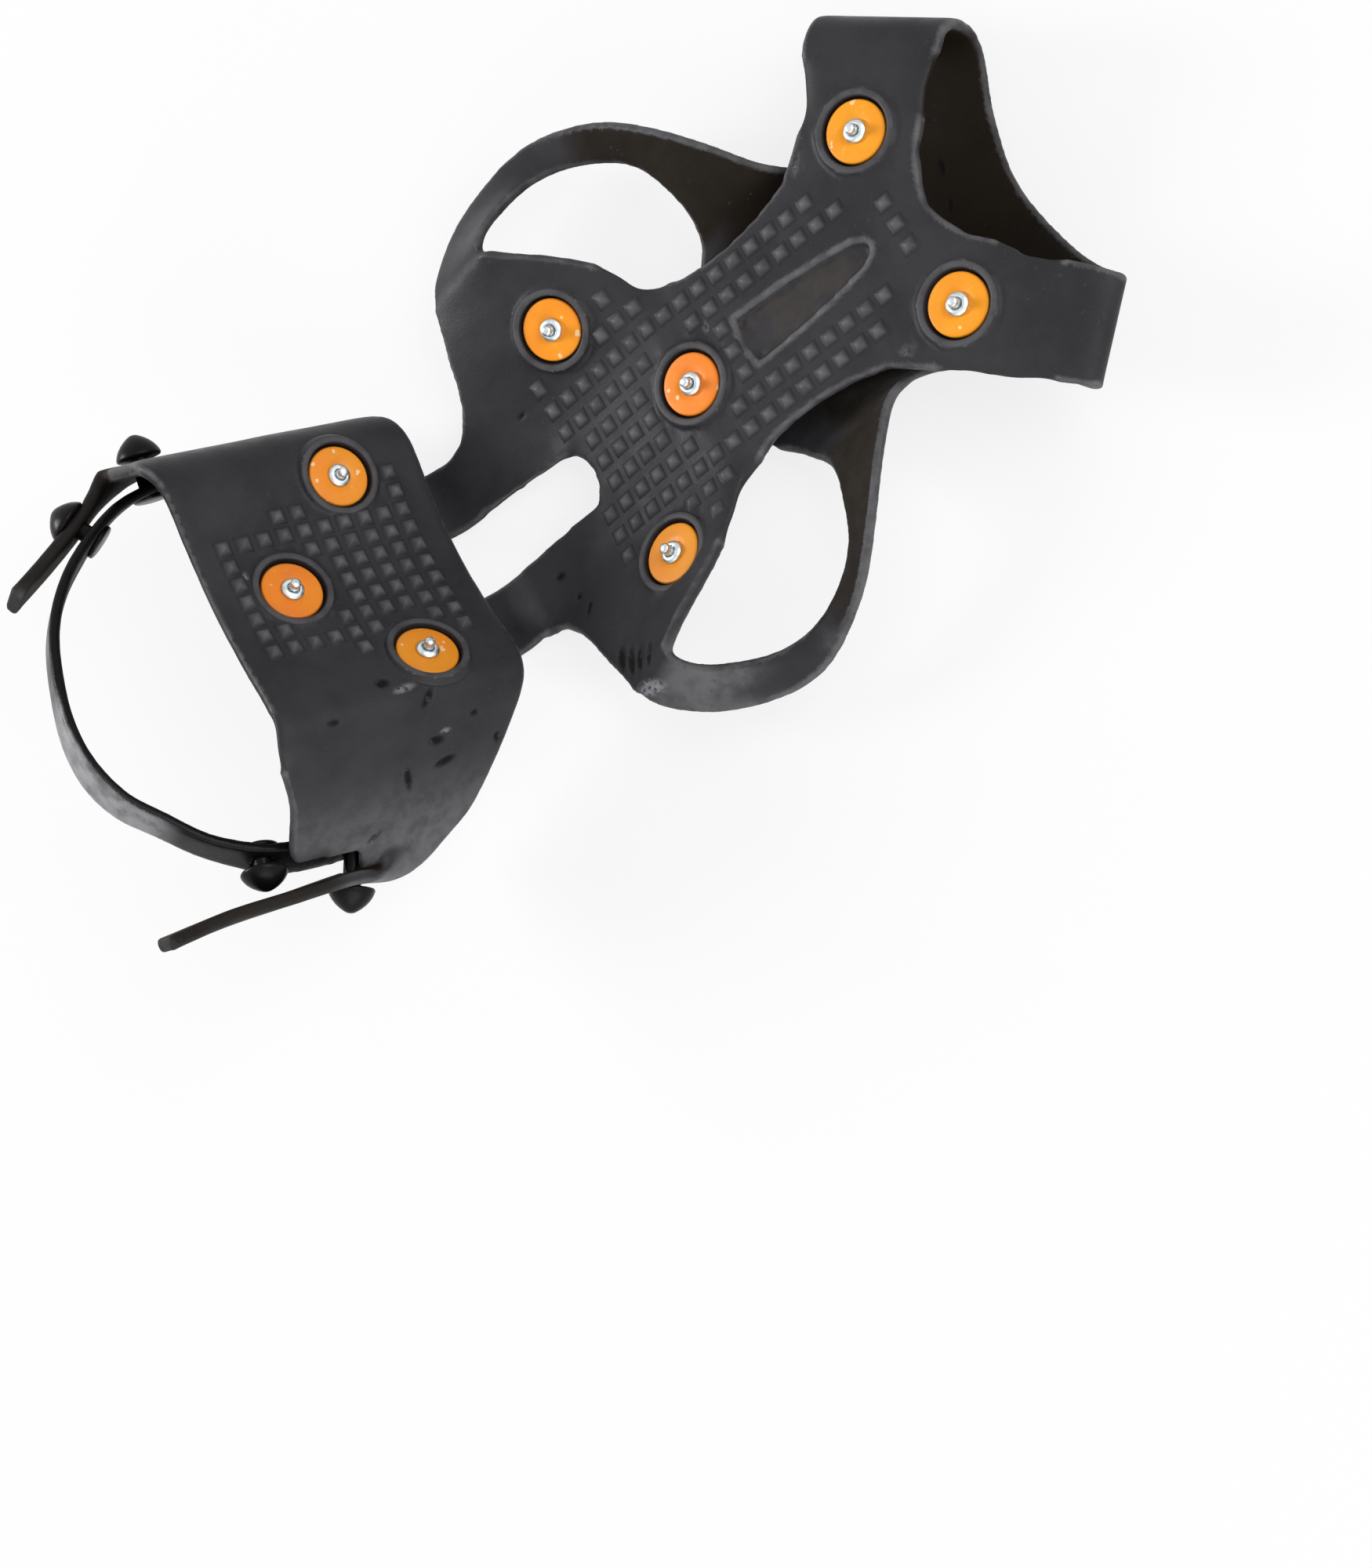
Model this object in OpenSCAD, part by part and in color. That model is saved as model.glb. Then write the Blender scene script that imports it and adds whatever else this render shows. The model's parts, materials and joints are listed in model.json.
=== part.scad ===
// Ice cleat: a moulded rubber overshoe harness with riveted carbide studs, lying studs up.
// Millimetres. +X to the toe, +Y to the wearer's right, +Z out of the studded sole.

/* [Main sizes] */
// length of the sole along the ground when worn flat, which carries every place along the cleat
sole_length = 300; // [285:1:315]
// width over the two side straps, which carries every place across the cleat
sole_width = 206; // [196:1:216]

/* [Harness] */
// thickness of the forefoot sheet, the side straps and the toe band
sheet_t = 4; // [3:0.25:5]
// thickness of the heel plate, its walls and the strap tails
heel_t = 4.5; // [3.5:0.25:5]
// thickness of the heel strap
strap_t = 3.6; // [3:0.2:4.4]
// angle at which the heel plate stands above the forefoot plane
heel_fold = 58; // [54:1:60]
// depth of the leaf-shaped recess in the forefoot
recess_depth = 1.6; // [0.8:0.1:2]

/* [Studs] */
// diameter of the coloured plastic disc
disc_d = 20; // [18:0.5:21]
// thickness of the coloured plastic disc
disc_t = 2.4; // [2:0.1:3]
// radial gap between the disc and the rubber ring round it
disc_gap = 0.9; // [0.4:0.1:1.2]
// radial width of the raised rubber ring
ring_w = 2.5; // [2:0.1:3.5]
// height of the rubber ring above the sheet
ring_h = 1.5; // [0.8:0.1:2]
// diameter of the metal collar on the disc
collar_d = 7.6; // [6.5:0.1:9]
// height of the metal collar on the disc
collar_h = 1.6; // [1.2:0.1:2.2]
// diameter of the carbide point
tip_d = 3.4; // [2.6:0.1:4]
// height of the carbide point above the collar
tip_h = 3.2; // [2:0.1:4]
// diameter of the rivet shank through the sheet
shank_d = 5; // [4.5:0.1:5.6]
// diameter of the backing washer on the foot side
washer_d = 14; // [12:0.5:15]
// thickness of the backing washer
washer_t = 1.2; // [0.8:0.1:1.6]
// diameter of the closed rivet head on the foot side
head_d = 9; // [8:0.25:10]
// height of the closed rivet head
head_h = 1.2; // [0.8:0.1:1.6]

/* [Grip points] */
// width of a grip point from side to side
grip_w = 5; // [4:0.1:5.6]
// height of a grip point above the sheet
grip_h = 1.6; // [0.8:0.1:2]

/* [Heel strap fasteners] */
// base diameter of the cone-shaped plug heads
plug_d = 15; // [12:0.5:16]
// height of the cone-shaped plug heads
plug_h = 8; // [6.5:0.5:9]
// diameter of the plug necks
neck_d = 6; // [5:0.25:7]
// diameter of the flange on the inside of the strap
flange_d = 12; // [10:0.5:13]

/* [Hidden] */
$fn = 48;
// piece drawn: a node name, or all
// clearance round the shanks, the necks and the carbide points
fit_gap = 0.06;
// gap left between the flexing webs and the heel plate
flex_gap = 0.03;
// the lying position: tilt, then lift and centring on the floor
lie_tilt = -7.66;
lie_shift = [44.1 * sole_length / 300, -0.95 * sole_width / 206, 20.96];
heel_at = [-108 * sole_length / 300, 0, 37];
dip = 4.6;
web_x = -88 * sole_length / 300;
// size of the blocks that part the moulding
far = 2 * sole_length;
plate_t = sheet_t + 0.4;
ring_id = disc_d + 2 * disc_gap;
ring_od = ring_id + 2 * ring_w;
// where the bridge webs stop under the heel plate, clear of the seat and the studs' bosses
web_end = max(14 * sole_length / 300, ring_od / 2) + 0.4;
// stud heights above the middle of the sheet
seat_z = 0.1;
seat_low = 0.8;
rubber = [0.20, 0.20, 0.22];
orange = [0.92, 0.55, 0.14];
zinc = [0.78, 0.80, 0.82];
carbide = [0.55, 0.57, 0.60];

// studs: position, turn, and whether it sits on the heel plate
TOE_R = [[86, 33, 0], [0, 0, 0], false];
TOE_L = [[86, -33, 0], [0, 0, 0], false];
CENTRE = [[0, 0, 0], [0, -2, 0], false];
SIDE_R = [[-31, 44, 3.6], [18, -3, 0], false];
SIDE_L = [[-31, -44, 3.6], [-18, -3, 0], false];
HEEL_R = [[0, 34, 0], [15, 0, 0], true];
HEEL_L = [[0, -34, 0], [-15, 0, 0], true];
HEEL_B = [[-31, 0, -dip], [0, 0, 0], true];
FORE_STUDS = [TOE_R, TOE_L, CENTRE, SIDE_R, SIDE_L];
HEEL_STUDS = [HEEL_R, HEEL_L, HEEL_B];

// rear forefoot, its rising arms and the roots of the bridge webs, from the middle to the right:
// each row runs from the front edge to the rear edge
REAR = [
    [[0, 0, 0], [-15, 0, -2], [-30, 0, -4], [-45.5, 0, -6]],
    [[0, 5, 0], [-15, 5, -2], [-30, 5, -4], [-46.5, 5, -6]],
    [[0, 9, 0], [-16, 9, -2.1], [-32, 9, -4.1], [-49, 9, -6.2]],
    [[0, 11, 0], [-18, 11, -2.2], [-36, 11, -4.5], [-53, 11, -6.4]],
    [[0, 12.4, 0], [-25, 12.4, -3.3], [-53, 12.4, -6.4], [-91, 12.4, -6.7]],
    [[0.5, 18, 0.1], [-25, 18, -3.1], [-53, 18, -6.3], [-91, 18, -6.6]],
    [[1.5, 24, 0.5], [-25, 24, -2.4], [-53, 24, -5.6], [-91, 24, -6.4]],
    [[1.5, 30, 1.3], [-25, 30, -1.1], [-53, 30, -4.1], [-91, 30, -6]],
    [[1, 35.5, 2.2], [-25, 35, 0.4], [-53, 35, -2.2], [-91, 35, -5.6]],
    [[0.8, 37, 2.7], [-25, 36.4, 0.8], [-52, 36.4, -1.7], [-83, 36.4, -4.3]],
    [[0, 39.2, 3.4], [-25, 38.6, 1.6], [-52, 38.6, -0.7], [-79, 38.6, -2.8]],
    [[-2, 45, 5.4], [-28, 44, 3.8], [-51, 44, 1.6], [-74, 44.5, -0.6]],
    [[-7, 51, 7.8], [-29, 50, 5.9], [-50, 50, 3.7], [-71, 50.5, 1.4]],
    [[-13, 57, 10.2], [-32, 56, 8], [-50, 56.5, 5.5], [-69, 57, 3]],
    [[-20, 63, 12.7], [-36, 62, 9.8], [-52, 62, 6.9], [-67, 62.5, 4]],
    [[-27, 68.5, 14.7], [-40, 68, 11.4], [-52, 68, 8], [-65, 68, 4.8]],
    [[-34.5, 75, 15.4], [-44, 75, 12.4], [-53, 75, 9.4], [-63, 74.8, 6]]];
// how far the left arm is flexed back and up from the right one, by place along a row
function flex(p, w) =
    let (a = abs(p[1]), k = 4.5 * max(0, min(1, (a - 34) / 10)) + 0.12 * max(0, a - 44), r = max(0, a - 44))
    [p[0] - w * k, p[1] - w * 0.08 * r, p[2] + w * 0.1 * r];
REAR_L = [for (row = REAR) [for (j = [0 : 3]) flex(row[j], 1 - j / 3)]];
// edge lines of the other sheets: each station is [one edge, other edge]
// flexing part of the bridge webs, right, up to the foot side of the heel plate
WEB = [
    [[-86.5, 12, -6.7], [-86.5, 35, -5.4]],
    [[-96, 12, -6.2], [-96, 35.5, -5.6]],
    [[-104, 12, -2], [-104, 36, -1.8]],
    [[-108.6, 12, 5], [-108.4, 36, 6]],
    [[-108.6, 12, 13], [-107.4, 36, 15]],
    [[-105.6, 12, 19], [-103.6, 36, 21.6]],
    [[-102.5, 12, 22.5], [-99.6, 36, 26]]];
// side strap from the arm round to the toe band, right
STRAP = [
    [[-28, 86, 6.5], [-44, 93.5, 2]],
    [[-16, 89, 2], [-24, 101, 0]],
    [[-4, 87.5, -2], [-6, 101, 0]],
    [[8, 81.5, -4], [14, 91.5, 2]],
    [[18, 72, -4], [29, 77, 5]],
    [[23, 58, -5], [43, 59.5, 5]],
    [[23.5, 47, -8], [53, 45.5, 0]],
    [[20.5, 39, -11], [61, 39, -8]],
    [[13, 29.5, -15], [69, 38, -16]],
    [[42, 22, -22.5], [77, 41, -22.5]]];
STRAP_R = concat(
    [[[-34, 71.6, 14.7], [-62.5, 71.4, 5.9]],
        [[-36, 76.5, 14.6], [-61.5, 77, 6.2]],
        [[-33.5, 83, 11.5], [-56.5, 84.5, 5]]],
    [for (i = [0 : 7]) [STRAP[i][0] + [0, 1.8, 0], STRAP[i][1] + [0, 2, 0]]],
    [STRAP[8], STRAP[9]],
    [[[70, 21, -28], [84, 43, -27.6]], [[86, 18, -29.6], [92, 44, -29.6]]]);
STRAP_L = concat(
    [[[-41, 69.5, 17.6], [-62.5, 71.4, 5.9]],
        [[-43, 74.5, 17], [-61.5, 77, 6.2]],
        [[-38.5, 81, 12.5], [-56.5, 84, 5]]],
    [for (i = [0 : 6]) [STRAP[i][0], STRAP[i][1] - [0, i > 2 ? 1.8 : 0, 0]]],
    [[[16, 36, -11], [59, 38.5, -8]], [[4, 20, -15], [63, 36.5, -16]], [[36, 14, -22.5], [71, 39, -22.5]]],
    [[[70, 21, -27], [85, 44, -24]], [[87, 18, -29.2], [95, 45, -24.2]]]);
// toe loop: left arm, band over the boot's toe, right arm
TOE_LOOP = [
    [[104, -24, 0], [74, -49, 0]],
    [[115.5, -36, 0], [87.5, -62.5, 0]],
    [[125, -46.5, -1], [99.5, -71, -1]],
    [[130.8, -53, -5.8], [106.4, -77, -5.8]],
    [[127.5, -48.5, -12.5], [102.5, -72.5, -13.5]],
    [[120.5, -34.5, -20], [92, -55, -22]],
    [[114.5, -12, -27.4], [82, -22, -29.6]],
    [[113.5, 6, -29.5], [80, 15, -29.5]],
    [[118.5, 26, -29.5], [86, 46, -29.5]],
    [[124.5, 39.5, -28], [89, 70, -28]],
    [[127.5, 45, -21], [91.5, 75.5, -21]],
    [[127.5, 45.5, -9.5], [91.5, 76, -9.5]],
    [[124.5, 42.5, -2.2], [88.5, 72.5, -2.2]],
    [[116.5, 34, 0], [82, 64, 0]],
    [[104, 24, 0], [74, 49, 0]]];
// heel plate and walls in the heel frame, from the middle to the right: front edge, rear edge
HEEL = [
    [[30.5, 0, -4.6], [-57.5, 0, -4.6]],
    [[30.5, 12, -4], [-57.5, 12, -4]],
    [[30.5, 24, -2.3], [-57.8, 24, -2.3]],
    [[30.5, 34, 0], [-58.2, 34, 0]],
    [[30, 42, 1.5], [-59, 41.6, 1.5]],
    [[28.5, 48, 1], [-60.5, 47.6, 1]],
    [[26.5, 52, -2], [-61.5, 52.6, -2]],
    [[24, 56, -8], [-59, 57.5, -9]],
    [[19, 63, -20], [-55.5, 63.5, -20]],
    [[11, 71.5, -34], [-55, 70, -32]],
    [[4, 75.5, -41], [-54, 72.5, -37]],
    [[-5, 79.5, -50], [-54, 74, -40]]];
// strap tails: top edge, bottom edge
TAIL_ROOT = [
    [[11, 71.5, -34], [-55, 70, -32]],
    [[4, 75.5, -41], [-54, 72.5, -37]],
    [[-5, 79.5, -49.5], [-54, 73.6, -38.4]],
    [[-16, 82.5, -55], [-54.5, 74.4, -39]]];
TAIL_L = [
    [[11, 71.5, -34], [-20, 70.8, -33]],
    [[4, 75.5, -41], [-22, 74.2, -39.2]],
    [[-5, 79.5, -49.5], [-24, 80.5, -41.5]],
    [[-16, 80.5, -54], [-28, 83.5, -40.5]],
    [[-30, 77, -54.5], [-37, 83.5, -39.5]],
    [[-54, 78.3, -54], [-57, 83.8, -39.5]],
    [[-77, 79.6, -53], [-79, 84.2, -39]],
    [[-100, 82, -52], [-102, 87.5, -38]]];
TAIL_R = concat(TAIL_ROOT, [
    [[-34, 81.5, -56.5], [-56, 73.8, -39.4]],
    [[-53, 72.8, -55.5], [-61, 67.6, -39.8]],
    [[-66, 62.8, -55.5], [-70, 60.3, -41]],
    [[-80, 53.4, -58], [-82, 52.3, -44]],
    [[-94, 45, -61], [-95, 44.5, -47.5]]]);
// heel strap from its right end round the back to its left end: top edge, bottom edge
BACK = [
    [[-25, 75, -52.5], [-26, 68.5, -39.5]],
    [[-40, 72.5, -53.5], [-40, 66, -38.5]],
    [[-55, 64.5, -53.5], [-55, 61.5, -38]],
    [[-71, 50.5, -53], [-71.5, 50.5, -38.5]],
    [[-82, 38.5, -52], [-83, 39, -39]],
    [[-91, 23.5, -51.5], [-92.5, 24, -39]],
    [[-96.5, 6, -52], [-98.5, 6, -38.5]],
    [[-99, -10, -53.5], [-101.5, -10, -37.5]],
    [[-98, -24, -54], [-100.5, -24.5, -37]],
    [[-93, -36, -53.5], [-95, -37.5, -37.5]],
    [[-84.5, -45.5, -52.5], [-86, -47, -38]],
    [[-75, -55.5, -52], [-76, -57, -38.5]],
    [[-64, -63.5, -52], [-64.5, -63.5, -38.5]],
    [[-54, -69, -52], [-54, -66.5, -38.5]],
    [[-40, -70.6, -52.5], [-40, -67.8, -38.5]],
    [[-25, -70.6, -52.5], [-25, -68, -39.8]],
    [[-9, -71, -52.5], [-9, -68.6, -43]]];
// plugs: a point in the middle of the strap, the heading and lean of the plug, and its reach
FRONT_R = [[-38, 69.6, -45.8], 90, 20, 10.6];
FRONT_L = [[-27.4, -69.6, -46.2], -112, -20, 14.2];
REAR_R = [[-64, 56.8, -45.6], 126, 0, 8.2];
REAR_L_PLUG = [[-59, -66, -45.2], -104, -4, 4.6];

// leaf-shaped recess outline
LEAF = [[23, -8], [21.5, 0], [23, 8], [40, 7.4], [56, 5.8], [67, 4], [70.5, 2], [71.5, 0],
    [70.5, -2], [67, -4], [56, -5.8], [40, -7.4]];
// flat forefoot outline, right half from the rear to the front notch
HALF_PLATE = [[-5, 0], [-5, 38.3], [-0.4, 38], [3, 36.5], [7, 34], [13, 31.2], [22, 30], [33, 30], [45, 31.6],
    [57, 35], [66, 42], [76, 51.5], [111, 29], [99, 16], [94.5, 6], [93, 0]];
PLATE_BACK = [for (i = [len(HALF_PLATE) - 2 : -1 : 1]) [HALF_PLATE[i][0], -HALF_PLATE[i][1]]];

// grip points stand in square rows, clear of the studs, the leaf and the sheet's edges
FORE_PITCH = [7.2, 8.1];
HEEL_PITCH = [7.2, 6.4];
function clear_of(p, studs, gap) =
    min([for (s = studs) norm([p[0] - s[0][0], p[1] - s[0][1]])]) > gap;
function by_leaf(p) = abs(p[1]) < 12 && p[0] > 20 && p[0] < 78;
FORE_GRIPS = [for (i = [-7 : 11]) for (j = [-5 : 5])
    let (p = [3.2 + i * FORE_PITCH[0], j * FORE_PITCH[1]], a = abs(p[1]))
    if (clear_of(p, FORE_STUDS, 16.9) && !by_leaf(p) && p[0] > (a < 12 ? -41 : -48)
        && p[0] < (a < 12 ? 83 : a < 20 ? 69 : a < 28 ? 62 : a < 36 ? -3 : -8)) p];
HEEL_GRIPS = [for (i = [-7 : 2]) for (j = [-4 : 5])
    let (p = [3 + i * HEEL_PITCH[0], j * HEEL_PITCH[1] - 0.8], a = abs(p[1]))
    if (clear_of(p, HEEL_STUDS, 15.3) && a < 22 + max(0, 0.8 * (p[0] + 30)) && a < 32) p];
function row_z(row, x) = lookup(x, [for (q = row) [q[0], q[2]]]);
function rear_z(p) =
    lookup(abs(p[1]), [for (row = p[1] < 0 ? REAR_L : REAR) [row[1][1], row_z(row, p[0])]]);
function fore_top(p) =
    p[0] > 0 ? plate_t / 2
    : max(rear_z(p) + sheet_t / 2, p[0] > -5 && abs(p[1]) < 38 ? plate_t / 2 : -far);
function heel_top(p) = lookup(abs(p[1]), [for (s = HEEL) [s[0][1], s[0][2]]]) + heel_t / 2;

// stations are placed for a sole 300 long and 206 wide, and follow the main sizes
function fit(p) = [p[0] * sole_length / 300, p[1] * sole_width / 206, p[2]];
function plan(p) = [p[0] * sole_length / 300, p[1] * sole_width / 206];
function fit_all(list) = [for (row = list) [for (p = row) fit(p)]];

// smooth curve through hand-placed stations
function clampi(list, i) = list[max(0, min(len(list) - 1, i))];
function bend(a, b, c, d, u) =
    0.5 * (2 * b + (c - a) * u + (2 * a - 5 * b + 4 * c - d) * u * u + (3 * b - a - 3 * c + d) * u * u * u);
function fine(list, n) = concat(
    [for (i = [0 : len(list) - 2]) for (k = [0 : n - 1])
        [for (e = [0, 1]) bend(clampi(list, i - 1)[e], list[i][e], list[i + 1][e], clampi(list, i + 2)[e], k / n)]],
    [list[len(list) - 1]]);
function flip(p) = [p[0], -p[1], p[2]];
function mirrored(list) = [for (s = list) [for (p = s) flip(p)]];
function both(list) = concat([for (i = [len(list) - 1 : -1 : 1]) [for (p = list[i]) flip(p)]], list);
function unit(v) = v / norm(v);
function middle(s) = (s[0] + s[1]) / 2;
function side_way(list, i) =
    unit(cross(middle(clampi(list, i + 1)) - middle(clampi(list, i - 1)), list[i][1] - list[i][0]));

// a sheet of even thickness between two edge lines, with softened edges
module ribbon(stations, t, n = 3) {
    s = fine(fit_all(stations), n);
    c = 0.22 * t;
    h = t / 2;
    rows = len(s);
    pts = [for (i = [0 : rows - 1])
        let (a = s[i][0], b = s[i][1], w = unit(b - a) * c, u = side_way(s, i))
        each [a + w - u * h, b - w - u * h, b - u * (h - c), b + u * (h - c),
            b - w + u * h, a + w + u * h, a + u * (h - c), a - u * (h - c)]];
    sides = [for (i = [0 : rows - 2]) for (j = [0 : 7])
        let (k = (j + 1) % 8, p = i * 8, q = p + 8)
        each [[p + j, q + j, q + k], [p + j, q + k, p + k]]];
    caps = [[for (j = [0 : 7]) j], [for (j = [7 : -1 : 0]) (rows - 1) * 8 + j]];
    polyhedron(pts, concat(sides, caps));
}

// a sheet of even thickness through rows of points
function row_way(g, i, j) = g[min(len(g) - 1, i + 1)][j] - g[max(0, i - 1)][j];
function col_way(g, i, j) = g[i][min(len(g[0]) - 1, j + 1)] - g[i][max(0, j - 1)];
function grid_way(g, i, j) = unit(cross(col_way(g, i, j), row_way(g, i, j)));
module quilt(grid, t) {
    g = fit_all(grid);
    rows = len(g);
    cols = len(g[0]);
    half = rows * cols;
    under = [for (i = [0 : rows - 1]) for (j = [0 : cols - 1]) g[i][j] + grid_way(g, i, j) * t / 2];
    over = [for (i = [0 : rows - 1]) for (j = [0 : cols - 1]) g[i][j] - grid_way(g, i, j) * t / 2];
    low = [for (i = [0 : rows - 2]) for (j = [0 : cols - 2])
        let (p = i * cols + j, q = p + cols)
        each [[p, q, q + 1], [p, q + 1, p + 1]]];
    rim = concat([for (j = [0 : cols - 1]) j], [for (i = [1 : rows - 1]) i * cols + cols - 1],
        [for (j = [cols - 2 : -1 : 0]) (rows - 1) * cols + j], [for (i = [rows - 2 : -1 : 1]) i * cols]);
    wall = [for (k = [0 : len(rim) - 1])
        let (a = rim[k], b = rim[(k + 1) % len(rim)])
        each [[a, b, b + half], [a, b + half, a + half]]];
    high = [for (f = low) [f[2] + half, f[1] + half, f[0] + half]];
    polyhedron(concat(under, over), concat(low, wall, high));
}

// a blunt four-sided grip point, its foot sunk in the sheet
module grip_point() {
    half = grip_w / 2;
    rotate(45)
    translate([0, 0, -1])
    cylinder(h = 1 + grip_h, r1 = sqrt(2) * (half + (half - 0.4) / grip_h), r2 = sqrt(2) * 0.4, $fn = 4);
}

module lie() {
    translate(lie_shift)
    rotate([0, lie_tilt, 0])
    children();
}

module on_heel() {
    translate(heel_at)
    rotate([0, heel_fold, 0])
    children();
}

module at_stud(s) {
    if (s[2]) {
        on_heel() translate(fit(s[0])) rotate(s[1]) children();
    } else {
        translate(fit(s[0])) rotate(s[1]) children();
    }
}

// the harness sheets as one moulding
module fore_sheet() {
    resize([0, 0, 0])
    difference() {
        union() {
            translate([0, 0, -plate_t / 2])
            linear_extrude(plate_t)
            polygon([for (p = concat(HALF_PLATE, PLATE_BACK)) plan(p)]);
            translate([0, 0, -1])
            linear_extrude(1 + plate_t / 2 + 0.6)
            offset(delta = 1.8)
            polygon([for (p = LEAF) plan(p)]);
            intersection() {
                quilt(concat([for (i = [len(REAR) - 1 : -1 : 1]) mirrored(REAR_L)[i]], REAR), sheet_t);
                translate([web_x, -far / 2, -far / 2])
                cube(far);
            }
            ribbon(STRAP_R, sheet_t - 0.4);
            ribbon(mirrored(STRAP_L), sheet_t - 0.4);
            ribbon(TOE_LOOP, sheet_t);
            for (p = FORE_GRIPS) translate(concat(plan(p), fore_top(p))) grip_point();
        }
        translate([0, 0, plate_t / 2 - recess_depth])
        linear_extrude(10)
        polygon([for (p = LEAF) plan(p)]);
    }
}

module heel_sheet(t) {
    ribbon(both(HEEL), t);
}

// rubber boss under a stud, then the pocket, the bore and the washer seat cut in it
module boss(t) {
    translate([0, 0, -t / 2 - seat_low])
    cylinder(h = t + seat_low + ring_h, d = ring_od);
}

module boss_cuts(t) {
    translate([0, 0, seat_z])
    cylinder(h = t + 4, d = ring_id);
    translate([0, 0, -t - 6])
    cylinder(h = 2 * t + 6, d = shank_d + 2 * fit_gap);
    translate([0, 0, -t / 2 - seat_low - 6])
    cylinder(h = 6, d = washer_d + 0.8);
}

module forefoot_harness() {
    color(rubber)
    lie()
    difference() {
        union() {
            fore_sheet();
            for (s = FORE_STUDS) at_stud(s) boss(sheet_t);
        }
        for (s = FORE_STUDS) at_stud(s) boss_cuts(sheet_t);
    }
}

module web(stations) {
    color(rubber)
    lie()
    resize([0, 0, 0])
    difference() {
        intersection() {
            ribbon(stations, sheet_t);
            translate([web_x - far - flex_gap, -far / 2, -far / 2])
            cube(far);
        }
        on_heel() heel_sheet(heel_t + 2 * flex_gap);
        on_heel() translate([web_end - far, -far / 2, -far / 2]) cube(far);
    }
}

module left_bridge_web() {
    web(mirrored(WEB));
}

module right_bridge_web() {
    web(WEB);
}

// the line along which the strap tails leave the heel walls
module wall_top(shift) {
    translate(fit([4, 0, -41]))
    rotate([0, 4, 0])
    translate([-far / 2, -far / 2, shift])
    cube(far);
}

// flat seat for the boot's heel on the foot side of the heel plate
module heel_seat() {
    translate(fit([-12, -20, -dip - heel_t / 2 - 0.5]))
    cube(fit([26, 40, heel_t / 2 + 0.5]));
}

module heel_cup() {
    color(rubber)
    lie()
    on_heel()
    difference() {
        union() {
            resize([0, 0, 0])
            union() {
                intersection() {
                    heel_sheet(heel_t);
                    wall_top(0);
                }
                for (p = HEEL_GRIPS) translate(concat(plan(p), heel_top(p))) grip_point();
            }
            heel_seat();
            for (s = HEEL_STUDS) translate(fit(s[0])) rotate(s[1]) boss(heel_t);
        }
        for (s = HEEL_STUDS) translate(fit(s[0])) rotate(s[1]) boss_cuts(heel_t);
    }
}

// plug places
module at_plug(p) {
    translate(fit(p[0]))
    rotate([0, 90 - p[2], p[1]])
    children();
}

// room for a plug: its neck hole, the seat of its flange and the seat of its head
module plug_room(reach) {
    translate([0, 0, -6])
    cylinder(h = 26, d = neck_d + 2 * fit_gap);
    translate([0, 0, -strap_t / 2 - 8.3])
    cylinder(h = 8 + fit_gap, d = flange_d + 2 * fit_gap);
    translate([0, 0, reach - fit_gap])
    cylinder(h = 12, d = plug_d + 2 * fit_gap);
}

module plug(reach, height) {
    translate([0, 0, -strap_t / 2 - 1.9])
    cylinder(h = 1.6, d = flange_d);
    translate([0, 0, -strap_t / 2 - 1])
    cylinder(h = strap_t / 2 + 1.2 + reach, d = neck_d);
    translate([0, 0, reach])
    cylinder(h = height, d1 = plug_d, d2 = 4);
}

module tail(stations, plugs) {
    difference() {
        resize([0, 0, 0])
        intersection() {
            ribbon(stations, heel_t);
            wall_top(-far - flex_gap);
        }
        for (p = plugs) at_plug(p) plug_room(p[3]);
    }
}

module left_strap_tail() {
    color(rubber) lie() on_heel() tail(mirrored(TAIL_L), [FRONT_L]);
}

module right_strap_tail() {
    color(rubber) lie() on_heel() tail(TAIL_R, [FRONT_R, REAR_R]);
}

module heel_strap() {
    color(rubber)
    lie()
    on_heel()
    difference() {
        ribbon(BACK, strap_t);
        for (p = [FRONT_R, FRONT_L, REAR_R, REAR_L_PLUG]) at_plug(p) plug_room(p[3]);
    }
}

module left_front_plug() {
    color(rubber) lie() on_heel() at_plug(FRONT_L) plug(FRONT_L[3], plug_h);
}

module right_front_plug() {
    color(rubber) lie() on_heel() at_plug(FRONT_R) plug(FRONT_R[3], plug_h);
}

module left_rear_plug() {
    color(rubber) lie() on_heel() at_plug(REAR_L_PLUG) plug(REAR_L_PLUG[3], plug_h - 1.4);
}

module right_rear_plug() {
    color(rubber) lie() on_heel() at_plug(REAR_R) plug(REAR_R[3], plug_h - 1.4);
}

// stud pieces, drawn with the sheet's middle at zero
module disc() {
    color(orange)
    translate([0, 0, seat_z])
    difference() {
        rotate_extrude()
        polygon([[0, 0], [disc_d / 2, 0], [disc_d / 2, disc_t - 0.5], [disc_d / 2 - 0.5, disc_t], [0, disc_t]]);
        translate([0, 0, -1])
        cylinder(h = disc_t + 2, d = shank_d + 2 * fit_gap);
    }
}

module rivet(t) {
    top = seat_z + disc_t;
    foot = -t / 2 - seat_low - washer_t;
    color(zinc)
    difference() {
        union() {
            translate([0, 0, top])
            rotate_extrude()
            polygon([[0, 0], [collar_d / 2, 0], [collar_d / 2, collar_h * 0.45], [collar_d / 2 - 1.1, collar_h],
                [0, collar_h]]);
            translate([0, 0, foot - 0.2])
            cylinder(h = top - foot + 0.4, d = shank_d);
            translate([0, 0, foot - head_h])
            rotate_extrude()
            polygon([[0, 0], [head_d / 2 - 0.5, 0], [head_d / 2, 0.5], [head_d / 2, head_h], [0, head_h]]);
        }
        translate([0, 0, top - 2])
        cylinder(h = 10, d = tip_d + 2 * fit_gap);
    }
}

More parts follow.
